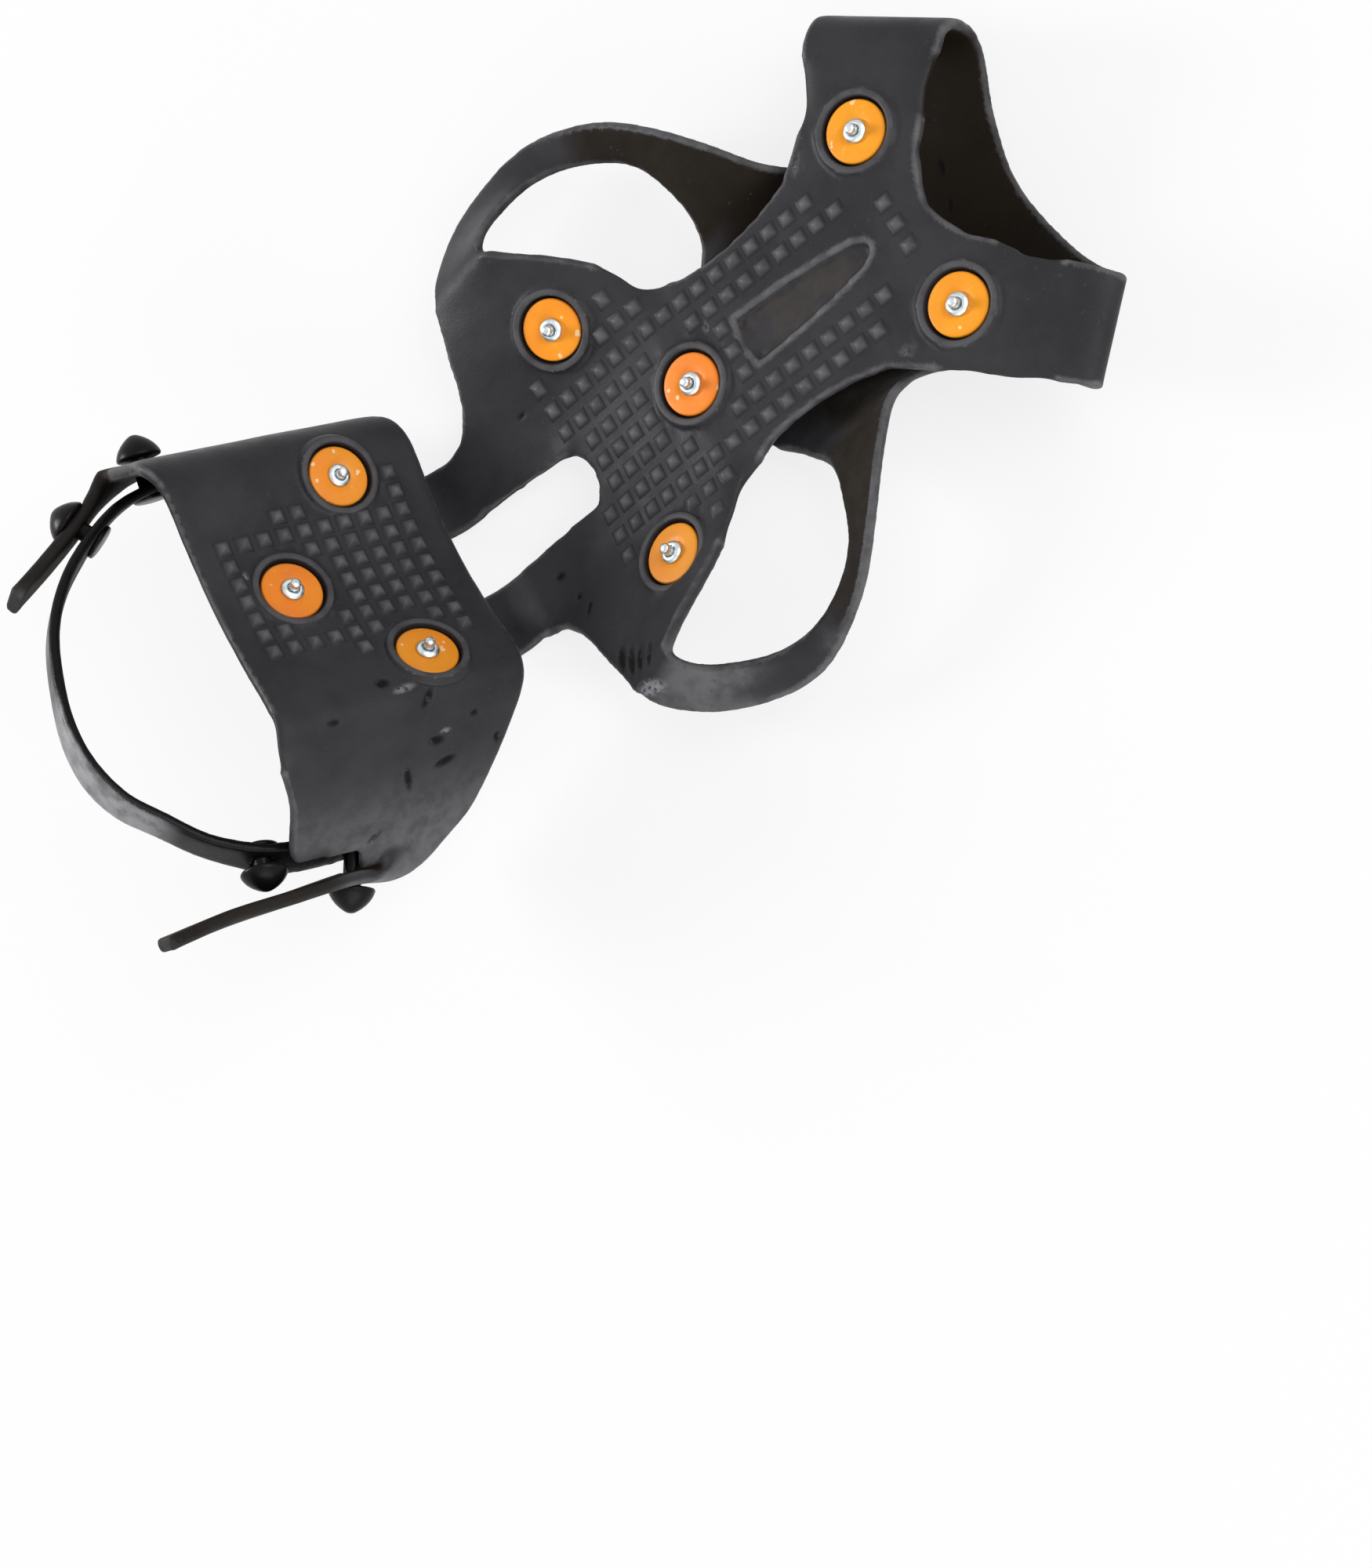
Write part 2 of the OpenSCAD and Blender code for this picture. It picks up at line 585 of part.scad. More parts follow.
module tip() {
    top = seat_z + disc_t;
    color(carbide)
    translate([0, 0, top - 2])
    rotate_extrude()
    polygon([[0, 0], [tip_d / 2, 0], [tip_d / 2, 2 + collar_h + tip_h - 0.6],
        [tip_d / 2 - 0.6, 2 + collar_h + tip_h], [0, 2 + collar_h + tip_h]]);
}

module washer(t) {
    color(zinc)
    translate([0, 0, -t / 2 - seat_low - washer_t])
    difference() {
        cylinder(h = washer_t, d = washer_d);
        translate([0, 0, -1])
        cylinder(h = washer_t + 2, d = shank_d + 2 * fit_gap);
    }
}

module toe_left_disc() { lie() at_stud(TOE_L) disc(); }
module toe_left_rivet() { lie() at_stud(TOE_L) rivet(sheet_t); }
module toe_left_tip() { lie() at_stud(TOE_L) tip(); }
module toe_left_washer() { lie() at_stud(TOE_L) washer(sheet_t); }
module toe_right_disc() { lie() at_stud(TOE_R) disc(); }
module toe_right_rivet() { lie() at_stud(TOE_R) rivet(sheet_t); }
module toe_right_tip() { lie() at_stud(TOE_R) tip(); }
module toe_right_washer() { lie() at_stud(TOE_R) washer(sheet_t); }
module centre_disc() { lie() at_stud(CENTRE) disc(); }
module centre_rivet() { lie() at_stud(CENTRE) rivet(sheet_t); }
module centre_tip() { lie() at_stud(CENTRE) tip(); }
module centre_washer() { lie() at_stud(CENTRE) washer(sheet_t); }
module side_left_disc() { lie() at_stud(SIDE_L) disc(); }
module side_left_rivet() { lie() at_stud(SIDE_L) rivet(sheet_t); }
module side_left_tip() { lie() at_stud(SIDE_L) tip(); }
module side_left_washer() { lie() at_stud(SIDE_L) washer(sheet_t); }
module side_right_disc() { lie() at_stud(SIDE_R) disc(); }
module side_right_rivet() { lie() at_stud(SIDE_R) rivet(sheet_t); }
module side_right_tip() { lie() at_stud(SIDE_R) tip(); }
module side_right_washer() { lie() at_stud(SIDE_R) washer(sheet_t); }
module heel_left_disc() { lie() at_stud(HEEL_L) disc(); }
module heel_left_rivet() { lie() at_stud(HEEL_L) rivet(heel_t); }
module heel_left_tip() { lie() at_stud(HEEL_L) tip(); }
module heel_left_washer() { lie() at_stud(HEEL_L) washer(heel_t); }
module heel_right_disc() { lie() at_stud(HEEL_R) disc(); }
module heel_right_rivet() { lie() at_stud(HEEL_R) rivet(heel_t); }
module heel_right_tip() { lie() at_stud(HEEL_R) tip(); }
module heel_right_washer() { lie() at_stud(HEEL_R) washer(heel_t); }
module heel_rear_disc() { lie() at_stud(HEEL_B) disc(); }
module heel_rear_rivet() { lie() at_stud(HEEL_B) rivet(heel_t); }
module heel_rear_tip() { lie() at_stud(HEEL_B) tip(); }
module heel_rear_washer() { lie() at_stud(HEEL_B) washer(heel_t); }

forefoot_harness();
left_bridge_web();
right_bridge_web();
heel_cup();
left_strap_tail();
right_strap_tail();
heel_strap();
left_front_plug();
right_front_plug();
left_rear_plug();
right_rear_plug();
toe_left_disc();
toe_left_rivet();
toe_left_tip();
toe_left_washer();
toe_right_disc();
toe_right_rivet();
toe_right_tip();
toe_right_washer();
centre_disc();
centre_rivet();
centre_tip();
centre_washer();
side_left_disc();
side_left_rivet();
side_left_tip();
side_left_washer();
side_right_disc();
side_right_rivet();
side_right_tip();
side_right_washer();
heel_left_disc();
heel_left_rivet();
heel_left_tip();
heel_left_washer();
heel_right_disc();
heel_right_rivet();
heel_right_tip();
heel_right_washer();
heel_rear_disc();
heel_rear_rivet();
heel_rear_tip();
heel_rear_washer();
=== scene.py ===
"""Ice cleat lying studs up: rubber harness, orange stud discs, zinc rivets and a strapped heel."""
import json
import math

import bpy
import numpy as np
from mathutils import Euler, Matrix, Vector
from mathutils.bvhtree import BVHTree

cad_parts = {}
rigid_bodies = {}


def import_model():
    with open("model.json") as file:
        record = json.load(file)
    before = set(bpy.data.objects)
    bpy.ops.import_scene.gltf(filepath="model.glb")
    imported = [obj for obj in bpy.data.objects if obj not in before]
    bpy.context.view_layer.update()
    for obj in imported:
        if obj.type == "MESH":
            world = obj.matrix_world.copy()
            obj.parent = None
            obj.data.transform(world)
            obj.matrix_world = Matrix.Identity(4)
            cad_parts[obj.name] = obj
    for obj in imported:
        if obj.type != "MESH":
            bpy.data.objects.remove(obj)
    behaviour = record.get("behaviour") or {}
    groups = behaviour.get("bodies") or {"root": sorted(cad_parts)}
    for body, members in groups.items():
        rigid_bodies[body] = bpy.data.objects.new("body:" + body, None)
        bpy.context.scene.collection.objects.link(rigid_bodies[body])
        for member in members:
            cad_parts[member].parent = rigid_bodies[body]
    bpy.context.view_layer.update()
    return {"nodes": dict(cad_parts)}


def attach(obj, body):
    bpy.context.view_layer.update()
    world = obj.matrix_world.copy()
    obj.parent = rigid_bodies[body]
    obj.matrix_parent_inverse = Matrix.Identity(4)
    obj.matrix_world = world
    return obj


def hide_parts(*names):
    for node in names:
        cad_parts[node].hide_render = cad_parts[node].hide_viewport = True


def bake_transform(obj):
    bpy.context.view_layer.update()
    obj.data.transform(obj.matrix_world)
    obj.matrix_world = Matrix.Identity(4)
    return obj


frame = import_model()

# lengths are in mm and angles in degrees, while the scene itself is in metres
MM = 0.001


# places

def shifted(place):
    return Matrix.Translation(Vector(place) * MM)


def turned_about(axis, degrees):
    return Matrix.Rotation(math.radians(degrees), 4, axis)


# the sole lies tilted in the row frame, and the heel plate folds up from it
SOLE_PLACE = (44.1, -0.95, 20.96)
SOLE_TILT = -7.66
HEEL_PLACE = (-108, 0, 37)
HEEL_FOLD = 58
LIE = shifted(SOLE_PLACE) @ turned_about("Y", SOLE_TILT)
HEEL = LIE @ shifted(HEEL_PLACE) @ turned_about("Y", HEEL_FOLD)

# stud places: body, frame, point, turn and thickness of the sheet
SOLE_SHEET = 4.0
HEEL_SHEET = 4.5
STUDS = {
    "toe_right": ("forefoot", LIE, (86, 33, 0), (0, 0, 0), SOLE_SHEET),
    "toe_left": ("forefoot", LIE, (86, -33, 0), (0, 0, 0), SOLE_SHEET),
    "centre": ("forefoot", LIE, (0, 0, 0), (0, -2, 0), SOLE_SHEET),
    "side_right": ("forefoot", LIE, (-31, 44, 3.6), (18, -3, 0), SOLE_SHEET),
    "side_left": ("forefoot", LIE, (-31, -44, 3.6), (-18, -3, 0), SOLE_SHEET),
    "heel_right": ("heel", HEEL, (0, 34, 0), (15, 0, 0), HEEL_SHEET),
    "heel_left": ("heel", HEEL, (0, -34, 0), (-15, 0, 0), HEEL_SHEET),
    "heel_rear": ("heel", HEEL, (-31, 0, -4.6), (0, 0, 0), HEEL_SHEET),
}
# how far each disc leans from yellow orange to red orange
DISC_TONES = {
    "toe_right": 0.15, "toe_left": 0.2, "centre": 0.95, "side_right": 0.45, "side_left": 0.35,
    "heel_right": 0.5, "heel_left": 0.4, "heel_rear": 0.85,
}
# the disc's top above the stud's middle, the washer's seat below the sheet and the ring's height above it
DISC_TOP = 2.5
WASHER_SEAT = 0.8
RING_HEIGHT = 1.5

# plugs: place in the heel frame, heading, lean, reach through the strap and height of the head
PLUGS = {
    "right_front": ((-38, 69.6, -45.8), 90, 20, 10.6, 8.0),
    "left_front": ((-27.4, -69.6, -46.2), -112, -20, 14.2, 8.0),
    "right_rear": ((-64, 56.8, -45.6), 126, 0, 8.2, 6.6),
    "left_rear": ((-59, -66, -45.2), -104, -4, 4.6, 6.6),
}

# the leaf shaped recess in the sole, seen from above, and the oblong about it
LEAF = [(23, -8), (21.5, 0), (23, 8), (40, 7.4), (56, 5.8), (67, 4), (70.5, 2), (71.5, 0), (70.5, -2),
    (67, -4), (56, -5.8), (40, -7.4)]
LEAF_MIDDLE = 47
LEAF_HALF_LENGTH = 29
LEAF_HALF_WIDTH = 11

# places where one sheet runs into the next: frame, point and reach
SHEET_JOINS = [
    (LIE, (-1, 40, 3), 14), (LIE, (-4, -42, 4), 16), (LIE, (78, 54, 0), 13), (LIE, (79, -54, 0), 14),
    (LIE, (91, -65, 0), 11), (LIE, (112, 31, 0), 11), (LIE, (113, -32, 0), 13), (HEEL, (-61, -50, 0), 11),
]

# points along the boot's middle, which the inner faces look at
BOOT_LINE = ((108, -15), (92, -15), (76, -16), (60, -18), (40, -20), (20, -22), (0, -25), (-25, -28),
    (-50, -32))
HEEL_LINE = ((30, -44), (10, -44), (-10, -44), (-30, -44), (-50, -44), (-65, -44))


def spot(base, x, y, z):
    """A point of the sole's or the heel's frame, in the row frame."""
    return base @ (Vector((x, y, z)) * MM)


def stud_frame(name):
    _, base, place, turn, _ = STUDS[name]
    turned_by = Euler([math.radians(angle) for angle in turn], "XYZ").to_matrix().to_4x4()
    return base @ shifted(place) @ turned_by


def studs_on(body):
    return [place[:2] for of_body, _, place, _, _ in STUDS.values() if of_body == body]


# modelling by hand

def hold(obj):
    """Only this object selected and active."""
    bpy.ops.object.select_all(action="DESELECT")
    obj.hide_set(False)
    obj.select_set(True)
    bpy.context.view_layer.objects.active = obj


def start_editing():
    bpy.ops.object.mode_set(mode="EDIT")
    bpy.ops.mesh.select_all(action="SELECT")


def stop_editing():
    bpy.ops.object.mode_set(mode="OBJECT")


def close_up():
    """All faces turned outwards, and back to the object."""
    bpy.ops.mesh.select_all(action="SELECT")
    bpy.ops.mesh.normals_make_consistent(inside=False)
    stop_editing()


def rise(up, share):
    """Draws the selected face up and makes it wider or narrower."""
    bpy.ops.mesh.extrude_region_move(TRANSFORM_OT_translate={"value": (0, 0, up * MM)})
    bpy.ops.transform.resize(value=(share, share, 1))


def apply_modifier(obj, kind, **values):
    hold(obj)
    modifier = obj.modifiers.new(kind.lower(), kind)
    for key, value in values.items():
        setattr(modifier, key, value)
    bpy.ops.object.modifier_apply(modifier=modifier.name)


def copy_of(node, name):
    """A merged copy of a CAD node, free to be reshaped."""
    source = frame["nodes"][node]
    piece = source.copy()
    piece.data = source.data.copy()
    piece.name = piece.data.name = name
    piece.parent = None
    piece.matrix_world = Matrix.Identity(4)
    for key in list(piece.keys()):
        if key.startswith("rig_"):
            del piece[key]
    bpy.context.scene.collection.objects.link(piece)
    hold(piece)
    start_editing()
    bpy.ops.mesh.remove_doubles(threshold=1e-6)
    stop_editing()
    return piece


def join(name, pieces):
    bpy.ops.object.select_all(action="DESELECT")
    for piece in pieces:
        piece.select_set(True)
    bpy.context.view_layer.objects.active = pieces[0]
    if len(pieces) > 1:
        bpy.ops.object.join()
    pieces[0].name = pieces[0].data.name = name
    return pieces[0]


def smooth_shade(obj, angle=None):
    hold(obj)
    if angle is None:
        bpy.ops.object.shade_smooth()
    else:
        bpy.ops.object.shade_smooth_by_angle(angle=math.radians(angle))


def settle(obj, matrix):
    """Puts a piece in its place and leaves its object at the origin."""
    hold(obj)
    obj.matrix_world = matrix
    bpy.ops.object.transform_apply(location=True, rotation=True, scale=True)


# reading and painting a mesh

def points_of(mesh):
    points = np.empty(len(mesh.vertices) * 3, np.float32)
    mesh.vertices.foreach_get("co", points)
    return points.reshape(-1, 3).astype(float)


def normals_of(mesh):
    normals = np.empty(len(mesh.vertices) * 3, np.float32)
    mesh.vertices.foreach_get("normal", normals)
    return normals.reshape(-1, 3).astype(float)


def edges_of(mesh):
    edges = np.empty(len(mesh.edges) * 2, np.int32)
    mesh.edges.foreach_get("vertices", edges)
    return edges.reshape(-1, 2)


def move_points(mesh, points):
    mesh.vertices.foreach_set("co", points.astype(np.float32).ravel())
    mesh.update()


def neighbour_mean(values, edges):
    """Mean of each vertex's neighbours."""
    count = len(values)
    total = np.zeros_like(values)
    number = np.maximum(np.bincount(edges.ravel(), minlength=count), 1)
    for here, there in ((0, 1), (1, 0)):
        for column in range(values.shape[1]):
            carried = values[edges[:, there], column]
            total[:, column] += np.bincount(edges[:, here], weights=carried, minlength=count)
    return total / number[:, None]


def step(low, high, value):
    """Runs softly from zero at low to one at high."""
    share = np.clip((value - low) / (high - low), 0, 1)
    return share * share * (3 - 2 * share)


def in_frame(base, points):
    """Points of the row frame in the sole's or the heel's frame."""
    back = np.array(base.inverted())
    return (points @ back[:3, :3].T + back[:3, 3]) / MM


def near_stud(points):
    """Distance of each point from the nearest stud's middle."""
    best = np.full(len(points), 1e3)
    for name in STUDS:
        middle = np.array(stud_frame(name).translation)
        best = np.minimum(best, np.linalg.norm(points - middle, axis=1) / MM)
    return best


def outline_distance(points, outline):
    """Distance of plan points from a closed outline, negative inside."""
    best = np.full(len(points), 1e3)
    inside = np.zeros(len(points), bool)
    x, y = points[:, 0], points[:, 1]
    for (ax, ay), (bx, by) in zip(outline, outline[1:] + outline[:1]):
        dx, dy = bx - ax, by - ay
        along = np.clip(((x - ax) * dx + (y - ay) * dy) / (dx * dx + dy * dy), 0, 1)
        best = np.minimum(best, np.hypot(x - ax - along * dx, y - ay - along * dy))
        if dy:
            inside ^= ((ay > y) != (by > y)) & (x < ax + dx * (y - ay) / dy)
    return np.where(inside, -best, best)


def paint(piece, name, values):
    """A named value on every vertex, which a material reads."""
    attribute = piece.data.attributes.get(name) or piece.data.attributes.new(name, "FLOAT", "POINT")
    attribute.data.foreach_set("value", np.asarray(values, np.float32))


def painted(piece, name):
    """The value painted on every vertex, zero where there is none."""
    values = np.zeros(len(piece.data.vertices), np.float32)
    if piece.data.attributes.get(name):
        piece.data.attributes[name].data.foreach_get("value", values)
    return values


def add_mark(piece, name, values):
    """Raises a painted value where the new one is higher."""
    paint(piece, name, np.maximum(painted(piece, name), values))


def fade_mark(piece, name, share):
    """Takes a share of a painted value away."""
    paint(piece, name, painted(piece, name) * (1 - share))


def scar(piece, name, base, place, way, length, width, strength):
    """One worn or dirty place: an oval lying along a direction, by its half length and half width."""
    off = in_frame(base, points_of(piece.data)) - place
    way = np.array(way) / np.linalg.norm(way)
    along = off @ way
    across = np.linalg.norm(off - along[:, None] * way, axis=1)
    add_mark(piece, name, strength * step(1.0, 0.35, np.hypot(along / length, across / width)))


def press_in(piece, depth):
    """Marks are shallow dents, deepest in their middle."""
    mesh = piece.data
    dent = painted(piece, "mark") * depth * MM
    move_points(mesh, points_of(mesh) - normals_of(mesh) * dent[:, None])


def read_edges(piece, rounds, low, high):
    """Marks the raised edges, painted paler as wear and as a painted highlight where they catch the light,
    and the hollows, which hold dirt.
    """
    mesh = piece.data
    edges = edges_of(mesh)
    points = points_of(mesh)
    even = points
    for _ in range(rounds):
        even = 0.5 * even + 0.5 * neighbour_mean(even, edges)
    swell = ((points - even) * normals_of(mesh)).sum(1) / MM
    paint(piece, "edge", step(low, high, swell))
    paint(piece, "hollow", step(low, high, -swell))


def read_inside(piece, base, line):
    """Marks the faces that look at the boot, from points along its middle, where shade is painted."""
    points = points_of(piece.data)
    line = np.array([list(spot(base, x, 0, z)) for x, z in line])
    far = np.linalg.norm(points[:, None] - line[None], axis=2)
    towards = line[far.argmin(1)] - points
    towards /= np.linalg.norm(towards, axis=1)[:, None]
    paint(piece, "inside", step(-0.05, 0.3, (towards * normals_of(piece.data)).sum(1)))


# rubber mouldings

# rounds of smoothing: all over, at the feet of grip points, before and after evening out, where sheets join
FIRST_ROUNDS = 3
FOOT_ROUNDS = 110
ROUNDS_BEFORE = 4
ROUNDS_AFTER = 2
JOIN_ROUNDS = 140


def weigh(piece, name, weights):
    """A vertex group in ten levels."""
    made = piece.vertex_groups.new(name=name)
    for level in range(1, 11):
        chosen = np.where((weights > (level - 0.5) / 10) & (weights <= (level + 0.5) / 10))[0]
        made.add([int(i) for i in chosen], level / 10, "REPLACE")


def smooth(piece, rounds, weights=None):
    """Evens out a piece all over, or by a weight on every vertex."""
    group = ""
    if weights is not None:
        group = "smooth"
        weigh(piece, group, weights)
    apply_modifier(piece, "SMOOTH", factor=0.5, iterations=rounds, vertex_group=group)
    piece.vertex_groups.clear()


def even_out(piece, weights, rounds):
    """Takes the fine steps out of the edges and keeps their form: a step in, then a longer step out."""
    points = points_of(piece.data)
    edges = edges_of(piece.data)
    for _ in range(rounds):
        for move in (0.6, -0.62):
            points += (move * weights)[:, None] * (neighbour_mean(points, edges) - points)
    move_points(piece.data, points)


def foot_weights(piece, base, grips):
    """One where a grip point stands, and zero beside it."""
    plan = in_frame(base, points_of(piece.data))
    near = np.full(len(plan), 1e3)
    for x, y in grips:
        near = np.minimum(near, np.hypot(plan[:, 0] - x, plan[:, 1] - y))
    return step(5.2, 4.2, near)


def free_weights(points):
    """One away from the rims of the studs and of the leaf, which stay crisp."""
    x, y, z = in_frame(LIE, points).T
    leaf = np.maximum(np.abs(x - LEAF_MIDDLE) - LEAF_HALF_LENGTH, np.abs(y) - LEAF_HALF_WIDTH)
    return step(15.0, 17.0, near_stud(points)) * step(0, 3, np.maximum(leaf, -2 - z))


def join_weights(points):
    """One where a sheet runs into the next, clear of the studs."""
    soft = np.zeros(len(points))
    for base, place, reach in SHEET_JOINS:
        far = np.linalg.norm(in_frame(base, points) - place, axis=1)
        soft = np.maximum(soft, step(reach, 0.5 * reach, far))
    return soft * step(14.5, 16.0, near_stud(points))


def sheet_weights(piece):
    """One on the calm sheets, and zero at edges, rims and recess."""
    edges = edges_of(piece.data)
    bent = normals_of(piece.data)
    for _ in range(4):
        bent = neighbour_mean(bent, edges)
    flat = step(0.93, 0.985, np.linalg.norm(bent, axis=1))
    flat *= step(15.5, 18.0, near_stud(points_of(piece.data)))
    for _ in range(3):
        flat = np.minimum(flat, neighbour_mean(flat[:, None], edges)[:, 0])
    return flat


def mould(name, nodes, voxel, edge_rounds, sheet_rounds, base=None, grips=(), extra=()):
    """One seamless rubber moulding over CAD solids, with soft edges and calm sheets between them."""
    piece = join(name, [copy_of(node, f"{name}_{node}") for node in nodes] + list(extra))
    apply_modifier(piece, "REMESH", mode="VOXEL", voxel_size=voxel * MM, use_smooth_shade=True)
    smooth(piece, FIRST_ROUNDS)
    # the feet of the grip points run out softly: the points themselves are laid on afterwards
    if grips:
        smooth(piece, FOOT_ROUNDS, foot_weights(piece, base, grips))
    points = points_of(piece.data)
    free = free_weights(points)
    smooth(piece, ROUNDS_BEFORE, free)
    even_out(piece, free, edge_rounds)
    smooth(piece, ROUNDS_AFTER, free)
    soft = join_weights(points)
    if soft.max() > 0:
        smooth(piece, JOIN_ROUNDS, soft)
    smooth(piece, sheet_rounds, sheet_weights(piece))
    piece.data.materials.clear()
    smooth_shade(piece)
    return piece


def clear_of(x, y, studs, gap):
    return all(math.hypot(x - stud_x, y - stud_y) > gap for stud_x, stud_y in studs)


# grip points stand in square rows, clear of the studs, the leaf and the edges, as in the solids
GRIP_STEP = 7.2
SOLE_START = 3.2
SOLE_ROW = 8.1
SOLE_STUD_GAP = 16.9
HEEL_START = 3
HEEL_ROW = 6.4
HEEL_ROW_SHIFT = -0.8
HEEL_STUD_GAP = 15.3
# how far forward the sole's rows reach, by their distance from the middle
SOLE_FRONT = ((12, 83), (20, 69), (28, 62), (36, -3), (99, -8))


def sole_grip_places():
    places = []
    for along in range(-7, 12):
        for row in range(-5, 6):
            x = SOLE_START + along * GRIP_STEP
            y = row * SOLE_ROW
            side = abs(y)
            front = next(limit for reach, limit in SOLE_FRONT if side < reach)
            back = -41 if side < 12 else -48
            on_leaf = side < 12 and 20 < x < 78
            if back < x < front and not on_leaf and clear_of(x, y, studs_on("forefoot"), SOLE_STUD_GAP):
                places.append((x, y))
    return places


def heel_grip_places():
    places = []
    for along in range(-7, 3):
        for row in range(-4, 6):
            x = HEEL_START + along * GRIP_STEP
            y = row * HEEL_ROW + HEEL_ROW_SHIFT
            widest = min(32, 22 + max(0, 0.8 * (x + 30)))
            if abs(y) < widest and clear_of(x, y, studs_on("heel"), HEEL_STUD_GAP):
                places.append((x, y))
    return places


def tail_root():
    """Fills out the left tail's root where it leaves the wall."""
    bpy.ops.object.select_all(action="DESELECT")
    bpy.ops.mesh.primitive_cube_add(size=MM)
    root = bpy.context.object
    place = shifted((-25.5, -78, -43.2))
    size = Matrix.Diagonal((10, 2.8, 10, 1))
    settle(root, HEEL @ place @ turned_about("X", -36) @ size)
    return root


sole_places = sole_grip_places()
heel_places = heel_grip_places()
forefoot = mould("forefoot_moulding", ["forefoot_harness", "left_bridge_web", "right_bridge_web"],
    voxel=0.86, edge_rounds=80, sheet_rounds=60, base=LIE, grips=sole_places)
heel = mould("heel_moulding", ["heel_cup", "left_strap_tail", "right_strap_tail"],
    voxel=0.72, edge_rounds=80, sheet_rounds=60, base=HEEL, grips=heel_places, extra=[tail_root()])
strap = mould("heel_strap_moulding", ["heel_strap"], voxel=0.6, edge_rounds=60, sheet_rounds=30)

# wear and painted edge highlights of the mouldings
read_edges(forefoot, rounds=10, low=0.13, high=0.36)
read_edges(heel, rounds=12, low=0.13, high=0.36)
read_edges(strap, rounds=8, low=0.3, high=2.2)


def paint_side_sheen():
    """Outer sides are painted paler as a painted sheen, the reflection of pale surroundings seen at a
    glancing angle, stronger on the left straps: side straps, lower heel walls and the back of the heel strap.
    """
    x, y, _ = in_frame(LIE, points_of(forefoot.data)).T
    outward = normals_of(forefoot.data)[:, 1] * np.sign(y)
    wear_and_sheen = np.where(y > 0, 0.5, 0.9) * step(0.2, 0.6, outward)
    add_mark(forefoot, "edge", wear_and_sheen * step(66, 76, np.abs(y)) * step(60, 40, x))
    _, y, z = in_frame(HEEL, points_of(heel.data)).T
    outward = normals_of(heel.data)[:, 1] * np.sign(y)
    add_mark(heel, "edge", 0.85 * step(0.4, 0.8, outward) * step(-10, -42, z) * step(-56, -46, z))
    _, y, _ = in_frame(HEEL, points_of(strap.data)).T
    backward = -(normals_of(strap.data) @ np.array(HEEL.to_3x3()))[:, 0]
    add_mark(strap, "edge", step(0.35, 0.7, backward) * step(6, -6, y) * step(-54, -44, y))


def paint_leaf_rim_and_floor():
    """The leaf's raised border is painted pale, as wear and as a painted highlight, and its floor holds dust.
    """
    plan = in_frame(LIE, points_of(forefoot.data))
    off = outline_distance(plan, LEAF)
    height = plan[:, 2]
    add_mark(forefoot, "edge", 0.95 * step(-0.5, 0.3, off) * step(2.4, 1.6, off) * step(1.5, 2.2, height))
    add_mark(forefoot, "hollow", step(0.2, -1.2, off) * step(-1.0, -0.2, height))


# scars of use and moulding: point, direction, half length, half width and strength
ALONG = (1, 0, 0)
STREAK = (0.53, 0.84, -0.2)
SCRATCH = (0.53, 0.84, 0)
HEEL_MARKS = [
    ((-20.5, -40.9, 3.6), (1, 0.1, 0), 3.4, 2.4, 1), ((-7.9, -49.3, 2.8), (-5, -5.2, -2.1), 5.0, 1.7, 1),
    ((-41.3, -49.4, 2.8), ALONG, 3.0, 1.4, 0.9), ((-5.5, -59.1, -8.3), (1, -0.2, 0), 4.2, 2.4, 1),
    ((8, -55.6, -3), (1, 0.3, 0), 2.2, 1.6, 0.9), ((17.5, -61.4, -12.8), (0.3, -0.5, -0.9), 3.0, 2.0, 1),
    ((-1.6, -63.3, -15.8), (1, 0.2, 0.2), 5.6, 2.2, 1), ((-15, -64.9, -18.3), (1.8, -4.4, -7.9), 6.2, 1.9, 1),
    ((-26, -74.1, -34.5), (1, 0.3, 0.6), 4.6, 1.4, 0.7), ((2, 46.5, 4), ALONG, 4.2, 2.2, 0.9),
]
HEEL_SCUFFS = [
    ((-14.5, -44.6, 3.8), (1, 0.1, 0), 5.4, 1.7, 0.7), ((-2.5, -57.5, -6), ALONG, 2.4, 1.2, 0.7),
    ((10, 20, 0), (1, 0.4, 0), 2.4, 1.6, 0.7), ((-44, 8, -2), (0.4, 1, 0), 2.2, 1.4, 0.7),
]
SOLE_MARKS = [
    ((-62.9, -62.5, 7.3), STREAK, 6.0, 2.3, 1), ((-59.9, -65.8, 8.8), STREAK, 7.0, 2.4, 1),
    ((-56.1, -67.3, 10.3), STREAK, 6.2, 2.3, 1), ((-51.4, -68.7, 13.5), STREAK, 5.4, 2.2, 1),
    ((-67.1, -38.6, 0.3), SCRATCH, 7.0, 1.2, 1), ((-69.8, -32.6, -1.9), SCRATCH, 1.8, 1.2, 1),
    ((-73, -22.3, -4.1), ALONG, 2.6, 1.8, 1), ((-58, 30, -2), ALONG, 2.6, 1.2, 1),
    ((96, 20, -27.6), (0.3, 1, 0), 4.0, 1.4, 1), ((92, 8, -27.6), (0.6, 1, 0), 3.0, 1.2, 1),
]
SOLE_SCUFFS = [
    ((-57.5, -76.9, 10.5), (1, -0.35, 0.2), 9.0, 3.6, 1), ((66, -35, 2.2), (1, 0.2, 0), 3.6, 2.0, 0.35),
    ((13.4, 12, 2.2), (0.4, 1, 0), 2.4, 1.6, 0.4), ((64, 36, 2.2), (1, 0.6, 0), 3.0, 1.6, 0.35),
    ((-20, 57, 9), (1, 0, 0.3), 3.4, 1.4, 0.4), ((-52, -41, 1), (1, 0.5, 0), 1.8, 1.6, 0.7),
]
DENT_DEPTH = 0.35


